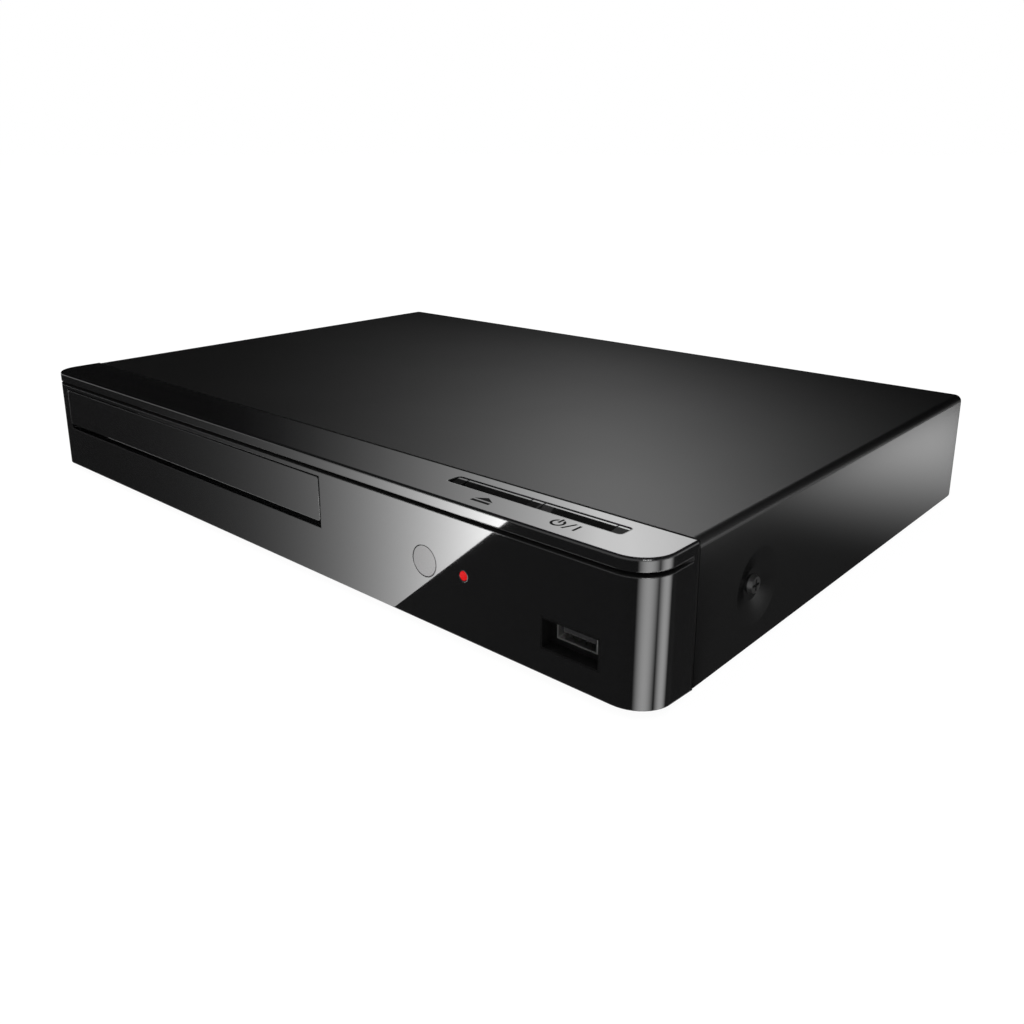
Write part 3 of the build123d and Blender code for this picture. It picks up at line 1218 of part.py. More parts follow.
# Spindle, pickup, rods and lead screw on the deck.
STATOR_R = 13.0
STATOR_HEIGHT = 4.0
SPINDLE_R = 1.5
TURNTABLE_R = 15.0
ROTOR_GAP = 0.5
SEAT_THICK = 2.6
CONE_R = 7.3
CONE_TOP_R = 5.2
CONE_HEIGHT = 3.0
SLED_HALF = 22.0
SLED_LENGTH = 30.0
SLED_TRAVEL = 36.0
SLED_CLEAR = 0.9
SLED_ABOVE = 1.0
SLED_GAP = 1.0
LENS_SETBACK = 6.0
LENS_R = 2.6
LENS_RING_R = 4.2
LENS_HEIGHT = 1.2
ROD_X = 19.0
ROD_R = 1.5
ROD_ABOVE = 4.0
HOLDER_THICK = 4.0
HOLDER_HALF = 2.8
LEAD_X = 27.5
LEAD_R = 1.5
LEAD_ABOVE = 3.2
NUT_HALF = 4.0
NUT_WALL = 1.1
STEPPER_R = 3.1
STEPPER_LENGTH = 12.0
STEPPER_GAP = 7.0
SLED_FRONT_Y = HUB_Y + TURNTABLE_R + SLED_GAP
SLED_Y = (SLED_FRONT_Y, SLED_FRONT_Y + SLED_LENGTH)
SLED_Z = (DECK_TOP + SLED_CLEAR, TRAY_Z + SLED_ABOVE)
ROD_Z = DECK_TOP + ROD_ABOVE
ROD_FRONT = (SLED_FRONT_Y - SLED_GAP - HOLDER_THICK, SLED_FRONT_Y - SLED_GAP)
ROD_REAR_Y = SLED_Y[1] + SLED_TRAVEL + SLED_GAP
ROD_REAR = (ROD_REAR_Y, ROD_REAR_Y + HOLDER_THICK)
LEAD_Z = DECK_TOP + LEAD_ABOVE
LENS_Y = SLED_FRONT_Y + LENS_SETBACK
STEPPER_REAR_Y = SLED_FRONT_Y - STEPPER_GAP
STATOR_TOP = DECK_TOP + STATOR_HEIGHT


def traverse_deck():
    body = block((-DECK_HALF, DECK_HALF), (DECK_FRONT_Y, HINGE_Y + HINGE_TAIL), (DECK_Z, DECK_TOP))
    rib_y = (DECK_FRONT_Y - DECK_RIB, DECK_FRONT_Y)
    body += block((-DECK_RIB_HALF, DECK_RIB_HALF), rib_y, (DECK_Z, DECK_Z + DECK_RIB_HEIGHT))
    for side in (-1, 1):
        body += rod_y(side * LIFT_PIN_X, LIFT_PIN_Z, LIFT_PIN_R, (CAM_Y[0], DECK_FRONT_Y))
        pin = sorted((side * (DECK_HALF - HINGE_BRACKET), side * (WINDOW_X + HINGE_BRACKET)))
        body += rod_x(HINGE_Y, DECK_MIDDLE_Z, HINGE_R, pin)
        for y in (ROD_FRONT, ROD_REAR):
            body += block(about(side * ROD_X, HOLDER_HALF), y, (DECK_Z, ROD_Z + HOLDER_HALF))
    body += block(about(LEAD_X, HOLDER_HALF), ROD_REAR, (DECK_Z, LEAD_Z + HOLDER_HALF))
    for side in (-1, 1):
        body -= rod_y(side * ROD_X, ROD_Z, ROD_R + RUN_GAP, (ROD_FRONT[0] - OVERRUN, ROD_REAR[1] + OVERRUN))
    body -= rod_y(LEAD_X, LEAD_Z, LEAD_R + RUN_GAP, (ROD_REAR[0] - OVERRUN, ROD_REAR[1] + OVERRUN))
    # The pickup looks down through a window in the deck.
    window = ROD_X - HOLDER_HALF - DECK_MARGIN
    body -= block((-window, window), (ROD_FRONT[1], ROD_REAR[0]), (DECK_Z - OVERRUN, DECK_TOP + OVERRUN))
    return Pos(DRIVE_X, 0, 0) * body


def spindle_motor():
    body = post(0, HUB_Y, STATOR_R, (DECK_TOP, STATOR_TOP))
    body -= post(0, HUB_Y, SPINDLE_R + RUN_GAP, (DECK_TOP, STATOR_TOP + OVERRUN))
    return Pos(DRIVE_X, 0, 0) * body


def turntable():
    """The rotor with its shaft, the disc seat and the centring cone, turned in one piece."""
    rotor = STATOR_TOP + ROTOR_GAP
    seat = DISC_SEAT_Z - SEAT_THICK
    outline = polygon(
        (0, DECK_TOP + ROTOR_GAP), (SPINDLE_R, DECK_TOP + ROTOR_GAP), (SPINDLE_R, rotor), (STATOR_R, rotor),
        (STATOR_R, seat), (TURNTABLE_R, seat), (TURNTABLE_R, DISC_SEAT_Z), (CONE_R, DISC_SEAT_Z),
        (CONE_TOP_R, DISC_SEAT_Z + CONE_HEIGHT), (0, DISC_SEAT_Z + CONE_HEIGHT),
    )
    body = revolve(Plane.XZ * outline, Axis.Z)
    return Pos(DRIVE_X, HUB_Y, 0) * body


def pickup_sled():
    body = block((-SLED_HALF, SLED_HALF), SLED_Y, SLED_Z)
    middle = (SLED_Y[0] + SLED_Y[1]) / 2
    nut_top = LEAD_Z + LEAD_R + FIT_GAP + NUT_WALL
    nut_x = (SLED_HALF, LEAD_X + LEAD_R + FIT_GAP + NUT_WALL)
    body += block(nut_x, about(middle, NUT_HALF), (SLED_Z[0], nut_top))
    run = (SLED_Y[0] - OVERRUN, SLED_Y[1] + OVERRUN)
    for side in (-1, 1):
        body -= rod_y(side * ROD_X, ROD_Z, ROD_R + RUN_GAP, run)
    body -= rod_y(LEAD_X, LEAD_Z, LEAD_R + FIT_GAP, run)
    body += post(0, LENS_Y, LENS_RING_R, (SLED_Z[1], SLED_Z[1] + LENS_HEIGHT))
    body -= post(0, LENS_Y, LENS_R, (SLED_Z[1], SLED_Z[1] + LENS_HEIGHT + OVERRUN))
    return Pos(DRIVE_X, 0, 0) * body


def objective_lens():
    return Pos(DRIVE_X, 0, 0) * post(0, LENS_Y, LENS_R - RUN_GAP, (SLED_Z[1], SLED_Z[1] + LENS_HEIGHT))


def guide_rods():
    return group(
        rod_y(DRIVE_X + side * ROD_X, ROD_Z, ROD_R, (ROD_FRONT[0], ROD_REAR[1])) for side in (-1, 1)
    )


def sled_motor():
    y = (STEPPER_REAR_Y - STEPPER_LENGTH, STEPPER_REAR_Y)
    body = rod_y(LEAD_X, LEAD_Z, STEPPER_R, y)
    body += block(about(LEAD_X, STEPPER_R), y, (DECK_TOP, LEAD_Z))
    body -= rod_y(LEAD_X, LEAD_Z, LEAD_R + RUN_GAP, (y[1] - STEPPER_R, y[1] + OVERRUN))
    return Pos(DRIVE_X, 0, 0) * body


def lead_screw():
    return rod_y(DRIVE_X + LEAD_X, LEAD_Z, LEAD_R, (STEPPER_REAR_Y - STEPPER_R + FIT_GAP, ROD_REAR[1]))


def cam_slider():
    """A plate that slides across the loader, with a sloping slot for each lift pin."""
    body = block(CAM_X, CAM_Y, (CAM_Z, CAM_TOP))
    slot_r = LIFT_PIN_R + FIT_GAP
    for side in (-1, 1):
        high = (side * LIFT_PIN_X, LIFT_PIN_Z)
        low = (side * LIFT_PIN_X - CAM_TRAVEL, LIFT_PIN_Z - LIFT_AT_PIN)
        path = make_hull((Pos(*high) * Circle(slot_r)).edges() + (Pos(*low) * Circle(slot_r)).edges())
        body -= drawn_y(path, (CAM_Y[0] - OVERRUN, CAM_Y[1] + OVERRUN))
    return Pos(DRIVE_X, 0, 0) * body


# Loader frame: a moulded tub that guides the tray and carries the gears, the motor and the hinge.
LOADER_ABOVE_TRAY = 2.0
LEDGE_THICK = 1.5
LEDGE_SIDE_GAP = 0.5
LEDGE_REACH = RACK_X + DEDENDUM + RACK_BACKING + LEDGE_SIDE_GAP
TAB_LENGTH = 8.0
TAB_REACH = 3.0
TAB_SHARES = (0.04, 0.72)
SILL_BELOW_RACK = 2.0
BOSS_REACH = 6.0
BOSS_HALF = 5.0
BOSS_TALL = 7.0
BRIDGE_HALF = 15.0
BRIDGE_THICK = 1.0
BRIDGE_LIP = 2.0
CLAMP_HOLE_R = 11.0
CLAMP_R = 14.0
CLAMP_NECK_R = 9.6
CLAMP_PAD = 3.3
CLAMP_ABOVE_SEAT = 0.6
CLAMP_FLANGE = 1.8
LOADER_TOP = TRAY_TOP + LOADER_ABOVE_TRAY
BRIDGE_TOP = LOADER_TOP + BRIDGE_THICK


def loader_frame():
    y = (LOADER_FRONT_Y, LOADER_REAR_Y)
    body = block((-LOADER_OUT_X, LOADER_OUT_X), y, (LOADER_Z, LOADER_TOP))
    inner_y = (LOADER_FRONT_Y + LOADER_WALL, LOADER_REAR_Y - LOADER_WALL)
    body -= block((-LOADER_IN_X, LOADER_IN_X), inner_y, (LOADER_FLOOR_Z, LOADER_TOP + OVERRUN))
    # The front is a low sill, under the rack that runs out over it.
    sill = TRAY_Z - RACK_HEIGHT - SILL_BELOW_RACK
    front_y = (LOADER_FRONT_Y - OVERRUN, inner_y[0] + OVERRUN)
    body -= block((-LOADER_IN_X, LOADER_IN_X), front_y, (sill, LOADER_TOP + OVERRUN))
    body -= block((-WINDOW_X, WINDOW_X), WINDOW_Y, (LOADER_Z - OVERRUN, LOADER_FLOOR_Z + OVERRUN))
    for side in (-1, 1):
        # Ledges under the tray's edges and tabs over its rims.
        ledge = sorted((side * LEDGE_REACH, side * LOADER_OUT_X))
        body += block(ledge, (inner_y[0], TRAY_REAR_Y), (TRAY_Z - FIT_GAP - LEDGE_THICK, TRAY_Z - FIT_GAP))
        tab = sorted((side * (LOADER_IN_X - TAB_REACH), side * LOADER_OUT_X))
        for share in TAB_SHARES:
            start = LOADER_FRONT_Y + share * LOADER_LENGTH
            body += block(tab, (start, start + TAB_LENGTH), (TRAY_TOP + FIT_GAP, LOADER_TOP))
        # Lugs for the grommets.
        lug = sorted((side * LOADER_IN_X, side * (LOADER_OUT_X + LUG_REACH)))
        for place in LUG_YS:
            body += block(lug, about(place, LUG_WIDTH / 2), (LUG_Z, LUG_Z + LUG_THICK))
            through = (LUG_Z - OVERRUN, LUG_Z + LUG_THICK + OVERRUN)
            body -= post(side * LUG_X, place, GROMMET_NECK_R + LAP_GAP, through)
        # Bosses for the clamper bridge, and brackets for the hinge of the traverse.
        boss = sorted((side * LOADER_IN_X, side * (LOADER_OUT_X + BOSS_REACH)))
        body += block(boss, about(HUB_Y, BOSS_HALF), (LOADER_TOP - BOSS_TALL, LOADER_TOP))
        body -= post(
            side * (LOADER_OUT_X + BOSS_REACH / 2), HUB_Y, SCREW_R + RUN_GAP,
            (LOADER_TOP - SCREW_LENGTH - LAP_GAP, LOADER_TOP + OVERRUN),
        )
        bracket = sorted((side * (WINDOW_X + FIT_GAP), side * (WINDOW_X + HINGE_BRACKET)))
        body += block(
            bracket, about(HINGE_Y, HINGE_BRACKET_HALF), (LOADER_Z, DECK_MIDDLE_Z + HINGE_R + HINGE_ABOVE)
        )
        through = (bracket[0] - OVERRUN, bracket[1] + OVERRUN)
        body -= rod_x(HINGE_Y, DECK_MIDDLE_Z, HINGE_R + RUN_GAP, through)
        # Guide ribs behind the cam slider, clear of the lift pins.
        guide = sorted((side * (DECK_RIB_HALF - CAM_END), side * WINDOW_X))
        rear = (CAM_Y[1] + FIT_GAP, CAM_Y[1] + FIT_GAP + CAM_GUIDE)
        body += block(guide, rear, (LOADER_Z, LOADER_FLOOR_Z + CAM_GUIDE_HEIGHT))
    front = (CAM_Y[0] - FIT_GAP - CAM_GUIDE, CAM_Y[0] - FIT_GAP)
    body += block((-WINDOW_X, WINDOW_X), front, (LOADER_Z, LOADER_FLOOR_Z + CAM_GUIDE_HEIGHT))
    # Posts for the gears and the cup of the loading motor.
    for x, shoulder in ((DRIVE_GEAR_X, GEAR_Z - GEAR_HUB_DROP), (PULLEY_X, PULLEY_Z)):
        body += post(x, GEAR_Y, GEAR_HUB_R, (LOADER_Z, shoulder - FIT_GAP))
        body += post(x, GEAR_Y, GEAR_POST_R, (LOADER_Z, GEAR_TOP))
    cup = MOTOR_R + FIT_GAP
    body += post(MOTOR_X, GEAR_Y, cup + MOTOR_CUP_WALL, (LOADER_Z, MOTOR_TOP + MOTOR_CUP_LID))
    body -= post(MOTOR_X, GEAR_Y, cup, (LOADER_Z - OVERRUN, MOTOR_TOP))
    lid = (MOTOR_TOP - OVERRUN, MOTOR_TOP + MOTOR_CUP_LID + OVERRUN)
    body -= post(MOTOR_X, GEAR_Y, MOTOR_BOSS_R + LAP_GAP, lid)
    return Pos(DRIVE_X, 0, 0) * body


def loader_grommets():
    """Rubber bushes with two flanges, which hold the lugs of the loader."""
    pieces = []
    for x, y in LUG_PLACES:
        body = post(x, y, GROMMET_R, (GROMMET_Z, LUG_Z))
        body += post(x, y, GROMMET_NECK_R, (GROMMET_Z, GROMMET_TOP))
        body += post(x, y, GROMMET_R, (LUG_Z + LUG_THICK, GROMMET_TOP))
        through = (GROMMET_Z - OVERRUN, GROMMET_TOP + OVERRUN)
        pieces.append(body - post(x, y, SCREW_R + SCREW_SLACK, through))
    return group(pieces)


def loader_screws():
    """Long screws through the grommets into the chassis posts, and two short ones for the bridge."""
    pieces = []
    for x, y in LUG_PLACES:
        head = post(x, y, GROMMET_R, (GROMMET_TOP, GROMMET_TOP + BOARD_SCREW_HEAD))
        pieces.append(head + post(x, y, SCREW_R, (GROMMET_Z - SCREW_LENGTH, GROMMET_TOP)))
    for side in (-1, 1):
        x = DRIVE_X + side * (LOADER_OUT_X + BOSS_REACH / 2)
        head = post(x, HUB_Y, SCREW_HEAD_R, (BRIDGE_TOP, BRIDGE_TOP + BOARD_SCREW_HEAD))
        pieces.append(head + post(x, HUB_Y, SCREW_R, (LOADER_TOP - SCREW_LENGTH, BRIDGE_TOP)))
    return group(pieces)


def clamper_bridge():
    """A steel strap across the loader, with upturned lips and the hole of the clamper."""
    half = LOADER_OUT_X + BOSS_REACH
    level = (LOADER_TOP, BRIDGE_TOP)
    body = block((-half, half), about(HUB_Y, BRIDGE_HALF), level)
    lip_half = LOADER_IN_X
    for side in (-1, 1):
        lip = sorted((HUB_Y + side * (BRIDGE_HALF - BRIDGE_THICK), HUB_Y + side * BRIDGE_HALF))
        body += block((-lip_half, lip_half), lip, (LOADER_TOP, BRIDGE_TOP + BRIDGE_LIP))
        body -= post(
            side * (LOADER_OUT_X + BOSS_REACH / 2), HUB_Y, SCREW_R + SCREW_SLACK,
            (LOADER_TOP - OVERRUN, BRIDGE_TOP + OVERRUN),
        )
    body -= post(0, HUB_Y, CLAMP_HOLE_R, (LOADER_TOP - OVERRUN, BRIDGE_TOP + OVERRUN))
    return Pos(DRIVE_X, 0, 0) * body


def clamper():
    """The puck that holds the disc down: a pad, a neck through the bridge and a flange that hangs on it."""
    pad = DISC_SEAT_Z + CLAMP_ABOVE_SEAT
    flange = BRIDGE_TOP + FIT_GAP
    outline = polygon(
        (CONE_R + FIT_GAP, pad), (CLAMP_R, pad), (CLAMP_R, pad + CLAMP_PAD),
        (CLAMP_NECK_R, pad + CLAMP_PAD), (CLAMP_NECK_R, flange),
        (CLAMP_R - FIT_GAP, flange), (CLAMP_R - FIT_GAP, flange + CLAMP_FLANGE),
        (0, flange + CLAMP_FLANGE), (0, pad + CLAMP_PAD), (CONE_R + FIT_GAP, pad + CLAMP_PAD),
    )
    return Pos(DRIVE_X, HUB_Y, 0) * revolve(Plane.XZ * outline, Axis.Z)


def loader_ribbon():
    """The flat cable from the loader's rear corner to its header on the main board."""
    wall = DRIVE_X + LOADER_OUT_X + RIBBON_THICK
    path = arch((wall, LOADER_FLOOR_Z + CONNECTOR_HEIGHT), (LOADER_LINK_X, BOARD_TOP + CONNECTOR_HEIGHT))
    return drawn_y(trace(path, RIBBON_THICK), about(LOADER_LINK_Y, RIBBON_WIDTH / 2))


PIECES = {
    "front_bezel": front_bezel(),
    "tray_door": tray_door(),
    "ir_window": ir_window(),
    "power_light": power_light(),
    "open_close_key": key(KEY_MIDDLES[0]),
    "power_key": key(KEY_MIDDLES[1]),
    "key_surround": key_surround(),
    "key_board": key_board(),
    "key_switches": key_switches(),
    "top_cover": top_cover(),
    "side_cover_screws": side_cover_screws(),
    "rear_cover_screws": rear_cover_screws(),
    "bottom_chassis": bottom_chassis(),
    "chassis_standoffs": chassis_standoffs(),
    "rubber_feet": rubber_feet(),
    "rear_panel": rear_panel(),
    "usb_shell": usb_shell(),
    "usb_insert": usb_insert(),
    "front_board": circuit_board(FRONT_BOARD_X, FRONT_BOARD_Y, FRONT_BOARD_Z, FRONT_HOLES),
    "ir_receiver": upright_sensor(IR_X, RECEIVER_R),
    "power_led": upright_sensor(LED_X, LED_BODY_R),
    "main_board": circuit_board(MAIN_X, MAIN_Y, BOARD_Z, MAIN_HOLES),
    "power_board": circuit_board(POWER_X, MAIN_Y, BOARD_Z, POWER_HOLES),
    "board_screws": board_screws(),
    "board_chips": board_chips(),
    "board_connectors": board_connectors(),
    "heatsink": heatsink(),
    "hdmi_socket": hdmi_socket(),
    "lan_socket": lan_socket(),
    "mains_inlet": mains_inlet(),
    "inlet_pins": inlet_pins(),
    "transformer": transformer(),
    "capacitors": capacitors(),
    "front_ribbon": front_ribbon(),
    "loader_ribbon": loader_ribbon(),
    "power_harness": power_harness(),
    "loader_frame": loader_frame(),
    "loader_grommets": loader_grommets(),
    "loader_screws": loader_screws(),
    "disc_tray": disc_tray(),
    "drive_gear": drive_gear(),
    "pulley_gear": pulley_gear(),
    "motor_pulley": motor_pulley(),
    "drive_belt": drive_belt(),
    "loading_motor": loading_motor(),
    "cam_slider": cam_slider(),
    "traverse_deck": traverse_deck(),
    "spindle_motor": spindle_motor(),
    "turntable": turntable(),
    "pickup_sled": pickup_sled(),
    "objective_lens": objective_lens(),
    "guide_rods": guide_rods(),
    "sled_motor": sled_motor(),
    "lead_screw": lead_screw(),
    "clamper_bridge": clamper_bridge(),
    "clamper": clamper(),
}

os.makedirs("parts", exist_ok=True)
for name, piece in PIECES.items():
    export_step(piece, f"parts/{name}.step")
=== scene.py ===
import math

import bpy
from mathutils import Matrix, Vector


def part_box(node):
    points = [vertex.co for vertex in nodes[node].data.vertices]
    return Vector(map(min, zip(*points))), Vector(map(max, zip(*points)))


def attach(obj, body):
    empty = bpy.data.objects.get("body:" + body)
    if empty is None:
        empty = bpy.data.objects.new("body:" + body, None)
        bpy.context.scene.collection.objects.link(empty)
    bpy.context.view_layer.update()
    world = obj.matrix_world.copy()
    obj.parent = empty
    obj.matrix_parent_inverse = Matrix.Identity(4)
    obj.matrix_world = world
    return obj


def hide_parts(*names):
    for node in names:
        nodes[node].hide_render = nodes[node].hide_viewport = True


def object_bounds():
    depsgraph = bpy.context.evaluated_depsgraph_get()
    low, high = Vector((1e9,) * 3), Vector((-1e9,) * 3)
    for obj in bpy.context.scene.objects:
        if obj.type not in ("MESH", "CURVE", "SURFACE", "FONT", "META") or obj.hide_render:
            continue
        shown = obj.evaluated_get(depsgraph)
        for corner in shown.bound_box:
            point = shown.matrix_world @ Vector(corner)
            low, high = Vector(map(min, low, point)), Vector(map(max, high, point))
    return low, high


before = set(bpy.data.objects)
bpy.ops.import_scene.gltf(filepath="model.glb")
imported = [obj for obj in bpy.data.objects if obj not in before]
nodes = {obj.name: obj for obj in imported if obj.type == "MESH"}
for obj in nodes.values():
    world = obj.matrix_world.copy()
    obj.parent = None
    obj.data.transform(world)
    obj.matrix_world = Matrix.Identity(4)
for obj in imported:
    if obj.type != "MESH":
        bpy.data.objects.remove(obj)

scene = bpy.context.scene
scene.view_settings.view_transform = "Standard"
cad_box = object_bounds()


# Bottom chassis: a pan of zinc-plated sheet, pressed and punched, that carries everything else.
# The posts clinched into it, the strap over the clamper and the cans of the motors have the same plating.
class Sock:
    """A node's socket that can be added, multiplied, compared and fed to other nodes."""

    def __init__(self, tree, out):
        self.tree = tree
        self.out = out

    def node(self, kind, out, inputs=(), **settings):
        """Any node: its settings, its inputs by name or place, and the output that is wanted."""
        made = self.tree.nodes.new(kind)
        for name, value in settings.items():
            setattr(made, name, value)
        for key, value in dict(inputs).items():
            if isinstance(value, Sock):
                self.tree.links.new(value.out, made.inputs[key])
            else:
                made.inputs[key].default_value = value
        return Sock(self.tree, made.outputs[out])

    def math(self, operation, first, second=0.0):
        return self.node("ShaderNodeMath", 0, {0: first, 1: second}, operation=operation)

    def __add__(self, other):
        return self.math("ADD", self, other)

    def __sub__(self, other):
        return self.math("SUBTRACT", self, other)

    def __rsub__(self, other):
        return self.math("SUBTRACT", other, self)

    def __mul__(self, other):
        return self.math("MULTIPLY", self, other)

    def __truediv__(self, other):
        return self.math("DIVIDE", self, other)

    def __rtruediv__(self, other):
        return self.math("DIVIDE", other, self)

    def __gt__(self, other):
        return self.math("GREATER_THAN", self, other)

    def __lt__(self, other):
        return self.math("LESS_THAN", self, other)

    def __abs__(self):
        return self.math("ABSOLUTE", self)

    __radd__ = __add__
    __rmul__ = __mul__

    def between(self, low, high):
        return (self > low) * (self < high)

    def within(self, half, middle):
        return abs(self - middle) < half

    def noise(self, scale, detail=2.0):
        return self.node("ShaderNodeTexNoise", "Fac", {"Vector": self, "Scale": scale, "Detail": detail})

    def cells(self, scale, out="Distance"):
        return self.node("ShaderNodeTexVoronoi", out, {"Vector": self, "Scale": scale})

    def axis(self, name):
        return self.node("ShaderNodeSeparateXYZ", name, {0: self})

    def tint(self, dark, light):
        """A colour between two, by this value."""
        return self.node("ShaderNodeMix", 2, {0: self, 6: (*dark, 1), 7: (*light, 1)}, data_type="RGBA")

    def bump(self, height, **base):
        return self.node("ShaderNodeBump", 0, {"Height": self, "Distance": height, **base})

    def show(self):
        """Make this shader the surface of its material."""
        self.tree.links.new(self.out, self.tree.nodes["Material Output"].inputs[0])


def surface(name, **constants):
    """A principled material, with its plain values set and its object coordinates to hand."""
    made = bpy.data.materials.new(name)
    made.use_nodes = True
    shader = made.node_tree.nodes["Principled BSDF"]
    for key, value in constants.items():
        shader.inputs[key.replace("_", " ")].default_value = value
    coords = made.node_tree.nodes.new("ShaderNodeTexCoord")
    return made, shader, Sock(made.node_tree, coords.outputs["Object"])


def feed(shader, **values):
    """Link values to the inputs of a shader."""
    for key, value in values.items():
        value.tree.links.new(value.out, shader.inputs[key.replace("_", " ")])


def wear(material, *names):
    """Give one material to the CAD nodes with these names."""
    for name in names:
        nodes[name].data.materials.clear()
        nodes[name].data.materials.append(material)


zinc, shader, place = surface("zinc_steel", Metallic=1.0)
spangle = place.cells(140.0, "Color").axis("X")
grain = place.noise(2200.0, 3.0)
feed(shader, Base_Color=(spangle * 0.6 + grain * 0.4).tint((0.47, 0.47, 0.46), (0.62, 0.62, 0.61)),
     Roughness=0.28 + spangle * 0.1 + grain * 0.08, Normal=grain.bump(0.00002))
wear(zinc, "bottom_chassis", "chassis_standoffs", "clamper_bridge", "loading_motor", "sled_motor",
     "spindle_motor")

# Rubber feet, the loader's grommets and the drive belt: moulded black rubber with a dull skin.
# The feet have pins that are pulled through holes in the chassis.
rubber, shader, place = surface("black_rubber")
skin = place.noise(900.0, 4.0)
feed(shader, Base_Color=skin.tint((0.012, 0.012, 0.012), (0.03, 0.03, 0.029)), Roughness=0.7 + skin * 0.2,
     Normal=skin.bump(0.00004))
wear(rubber, "rubber_feet", "loader_grommets", "drive_belt")

# Circuit boards: glass-fibre laminate under green solder mask, with copper runs that show through it.
# They are held on the standoffs by small plated screws.
laminate, shader, place = surface("board_green")
runs = place.cells(420.0) > 0.45
mask = place.noise(600.0, 2.0)
feed(shader, Base_Color=(runs * 0.5 + mask * 0.5).tint((0.012, 0.07, 0.03), (0.04, 0.2, 0.08)),
     Roughness=0.3 + mask * 0.15, Normal=runs.bump(0.00003))
wear(laminate, "main_board", "power_board", "front_board", "key_board")

# Small screws, guide rods and lead screw: bright plated steel, rolled and ground.
# The screws hold the boards and the loader, and the rods and the lead screw carry the pickup.
plated, shader, place = surface("bright_steel", Metallic=1.0)
scuff = place.noise(1800.0, 3.0)
feed(shader, Base_Color=scuff.tint((0.68, 0.68, 0.69), (0.8, 0.8, 0.81)), Roughness=0.14 + scuff * 0.12)
wear(plated, "board_screws", "loader_screws", "guide_rods", "lead_screw")

# Chips: the main processor, its memory and its flash store, in black moulded packages with a gritty skin.
# They are soldered flat on the main board.
package, shader, place = surface("chip_black")
grit = place.noise(5000.0, 2.0)
feed(shader, Base_Color=grit.tint((0.02, 0.02, 0.021), (0.045, 0.045, 0.047)), Roughness=0.5 + grit * 0.2,
     Normal=grit.bump(0.00002))
wear(package, "board_chips")

# Heatsink: a sawn length of extruded aluminium, with the lines of the die along it.
# It stands on the main processor.
extruded, shader, place = surface("heatsink_metal", Metallic=1.0)
draw = place.node("ShaderNodeMapping", 0, {0: place, "Scale": (3000.0, 60.0, 60.0)}).noise(1.0, 2.0)
feed(shader, Base_Color=draw.tint((0.66, 0.67, 0.68), (0.78, 0.79, 0.8)), Roughness=0.3 + draw * 0.15)
wear(extruded, "heatsink")

# Transformer: two core halves round a bobbin, wrapped in yellow tape whose turns show as bands.
# It stands on the power board.
tape, shader, place = surface("winding_yellow")
wrap = place.node("ShaderNodeTexWave", "Fac", {"Vector": place, "Scale": 160.0, "Distortion": 0.5},
                  bands_direction="Z")
feed(shader, Base_Color=wrap.tint((0.55, 0.42, 0.08), (0.76, 0.62, 0.2)), Roughness=0.35 + wrap * 0.1)
wear(tape, "transformer")

# Connectors, indicator, gears, pulley and cam slider: pale nylon, left as it comes from the tool.
# The first two sit on the boards, and the others are the loading drive in the loader frame.
nylon, shader, place = surface("white_plastic")
haze = place.noise(700.0, 3.0)
feed(shader, Base_Color=haze.tint((0.72, 0.71, 0.66), (0.82, 0.81, 0.77)), Roughness=0.4 + haze * 0.12)
wear(nylon, "board_connectors", "power_led", "drive_gear", "pulley_gear", "motor_pulley", "cam_slider")

# Flat cables and power harness: copper strands in white plastic, between the boards and to the loader.
# Their ends are pushed into the connectors.
cable, shader, place = surface("cable_white")
strand = place.node("ShaderNodeTexWave", "Fac", {"Vector": place, "Scale": 500.0}, bands_direction="X")
feed(shader, Base_Color=strand.tint((0.7, 0.7, 0.68), (0.86, 0.86, 0.84)), Roughness=0.45 + strand * 0.1)
wear(cable, "front_ribbon", "loader_ribbon", "power_harness")

# Socket shells: bright plated strip, blanked and folded to a box.
# One sits on the front board, and those for network and video at the rear of the main board.
shell_steel, shader, place = surface("socket_steel", Metallic=1.0)
rub = place.noise(1400.0, 3.0)
feed(shader, Base_Color=rub.tint((0.62, 0.62, 0.61), (0.76, 0.76, 0.75)), Roughness=0.24 + rub * 0.1,
     Normal=rub.bump(0.000004))
wear(shell_steel, "usb_shell", "hdmi_socket", "lan_socket")

# Loader and tray: grained black mouldings. The tray slides on ledges of the frame and carries a rack.
# The turntable, switches, receiver, mains inlet, front socket's insert and capacitors are as dull a black.
moulded, shader, place = surface("black_plastic")
grain = place.noise(2600.0, 3.0)
cloud = place.noise(60.0, 2.0)
feed(shader, Base_Color=(grain * 0.7 + cloud * 0.3).tint((0.014, 0.014, 0.015), (0.036, 0.036, 0.038)),
     Roughness=0.42 + grain * 0.16, Normal=grain.bump(0.00003))
wear(moulded, "loader_frame", "disc_tray", "usb_insert", "mains_inlet", "key_switches", "ir_receiver",
     "capacitors", "turntable")

# Traverse deck, pickup sled and clamper: grey mouldings with a dull grain.
# The deck swings on hinge pins in the loader, the sled runs on its rods, and the clamper hangs in its strap.
grey, shader, place = surface("grey_plastic")
grain = place.noise(2400.0, 3.0)
feed(shader, Base_Color=grain.tint((0.13, 0.13, 0.14), (0.19, 0.19, 0.2)), Roughness=0.45 + grain * 0.15,
     Normal=grain.bump(0.00002))
wear(grey, "traverse_deck", "pickup_sled", "clamper")

# Objective lens: a small clear lens with a bluish bloom.
# It stands on top of the pickup sled.
lens, shader, place = surface("lens_glass", Transmission_Weight=1.0, IOR=1.5)
bloom = place.noise(200.0, 1.0)
feed(shader, Base_Color=bloom.tint((0.62, 0.66, 0.85), (0.7, 0.78, 0.92)), Roughness=0.02 + bloom * 0.02)
wear(lens, "objective_lens")

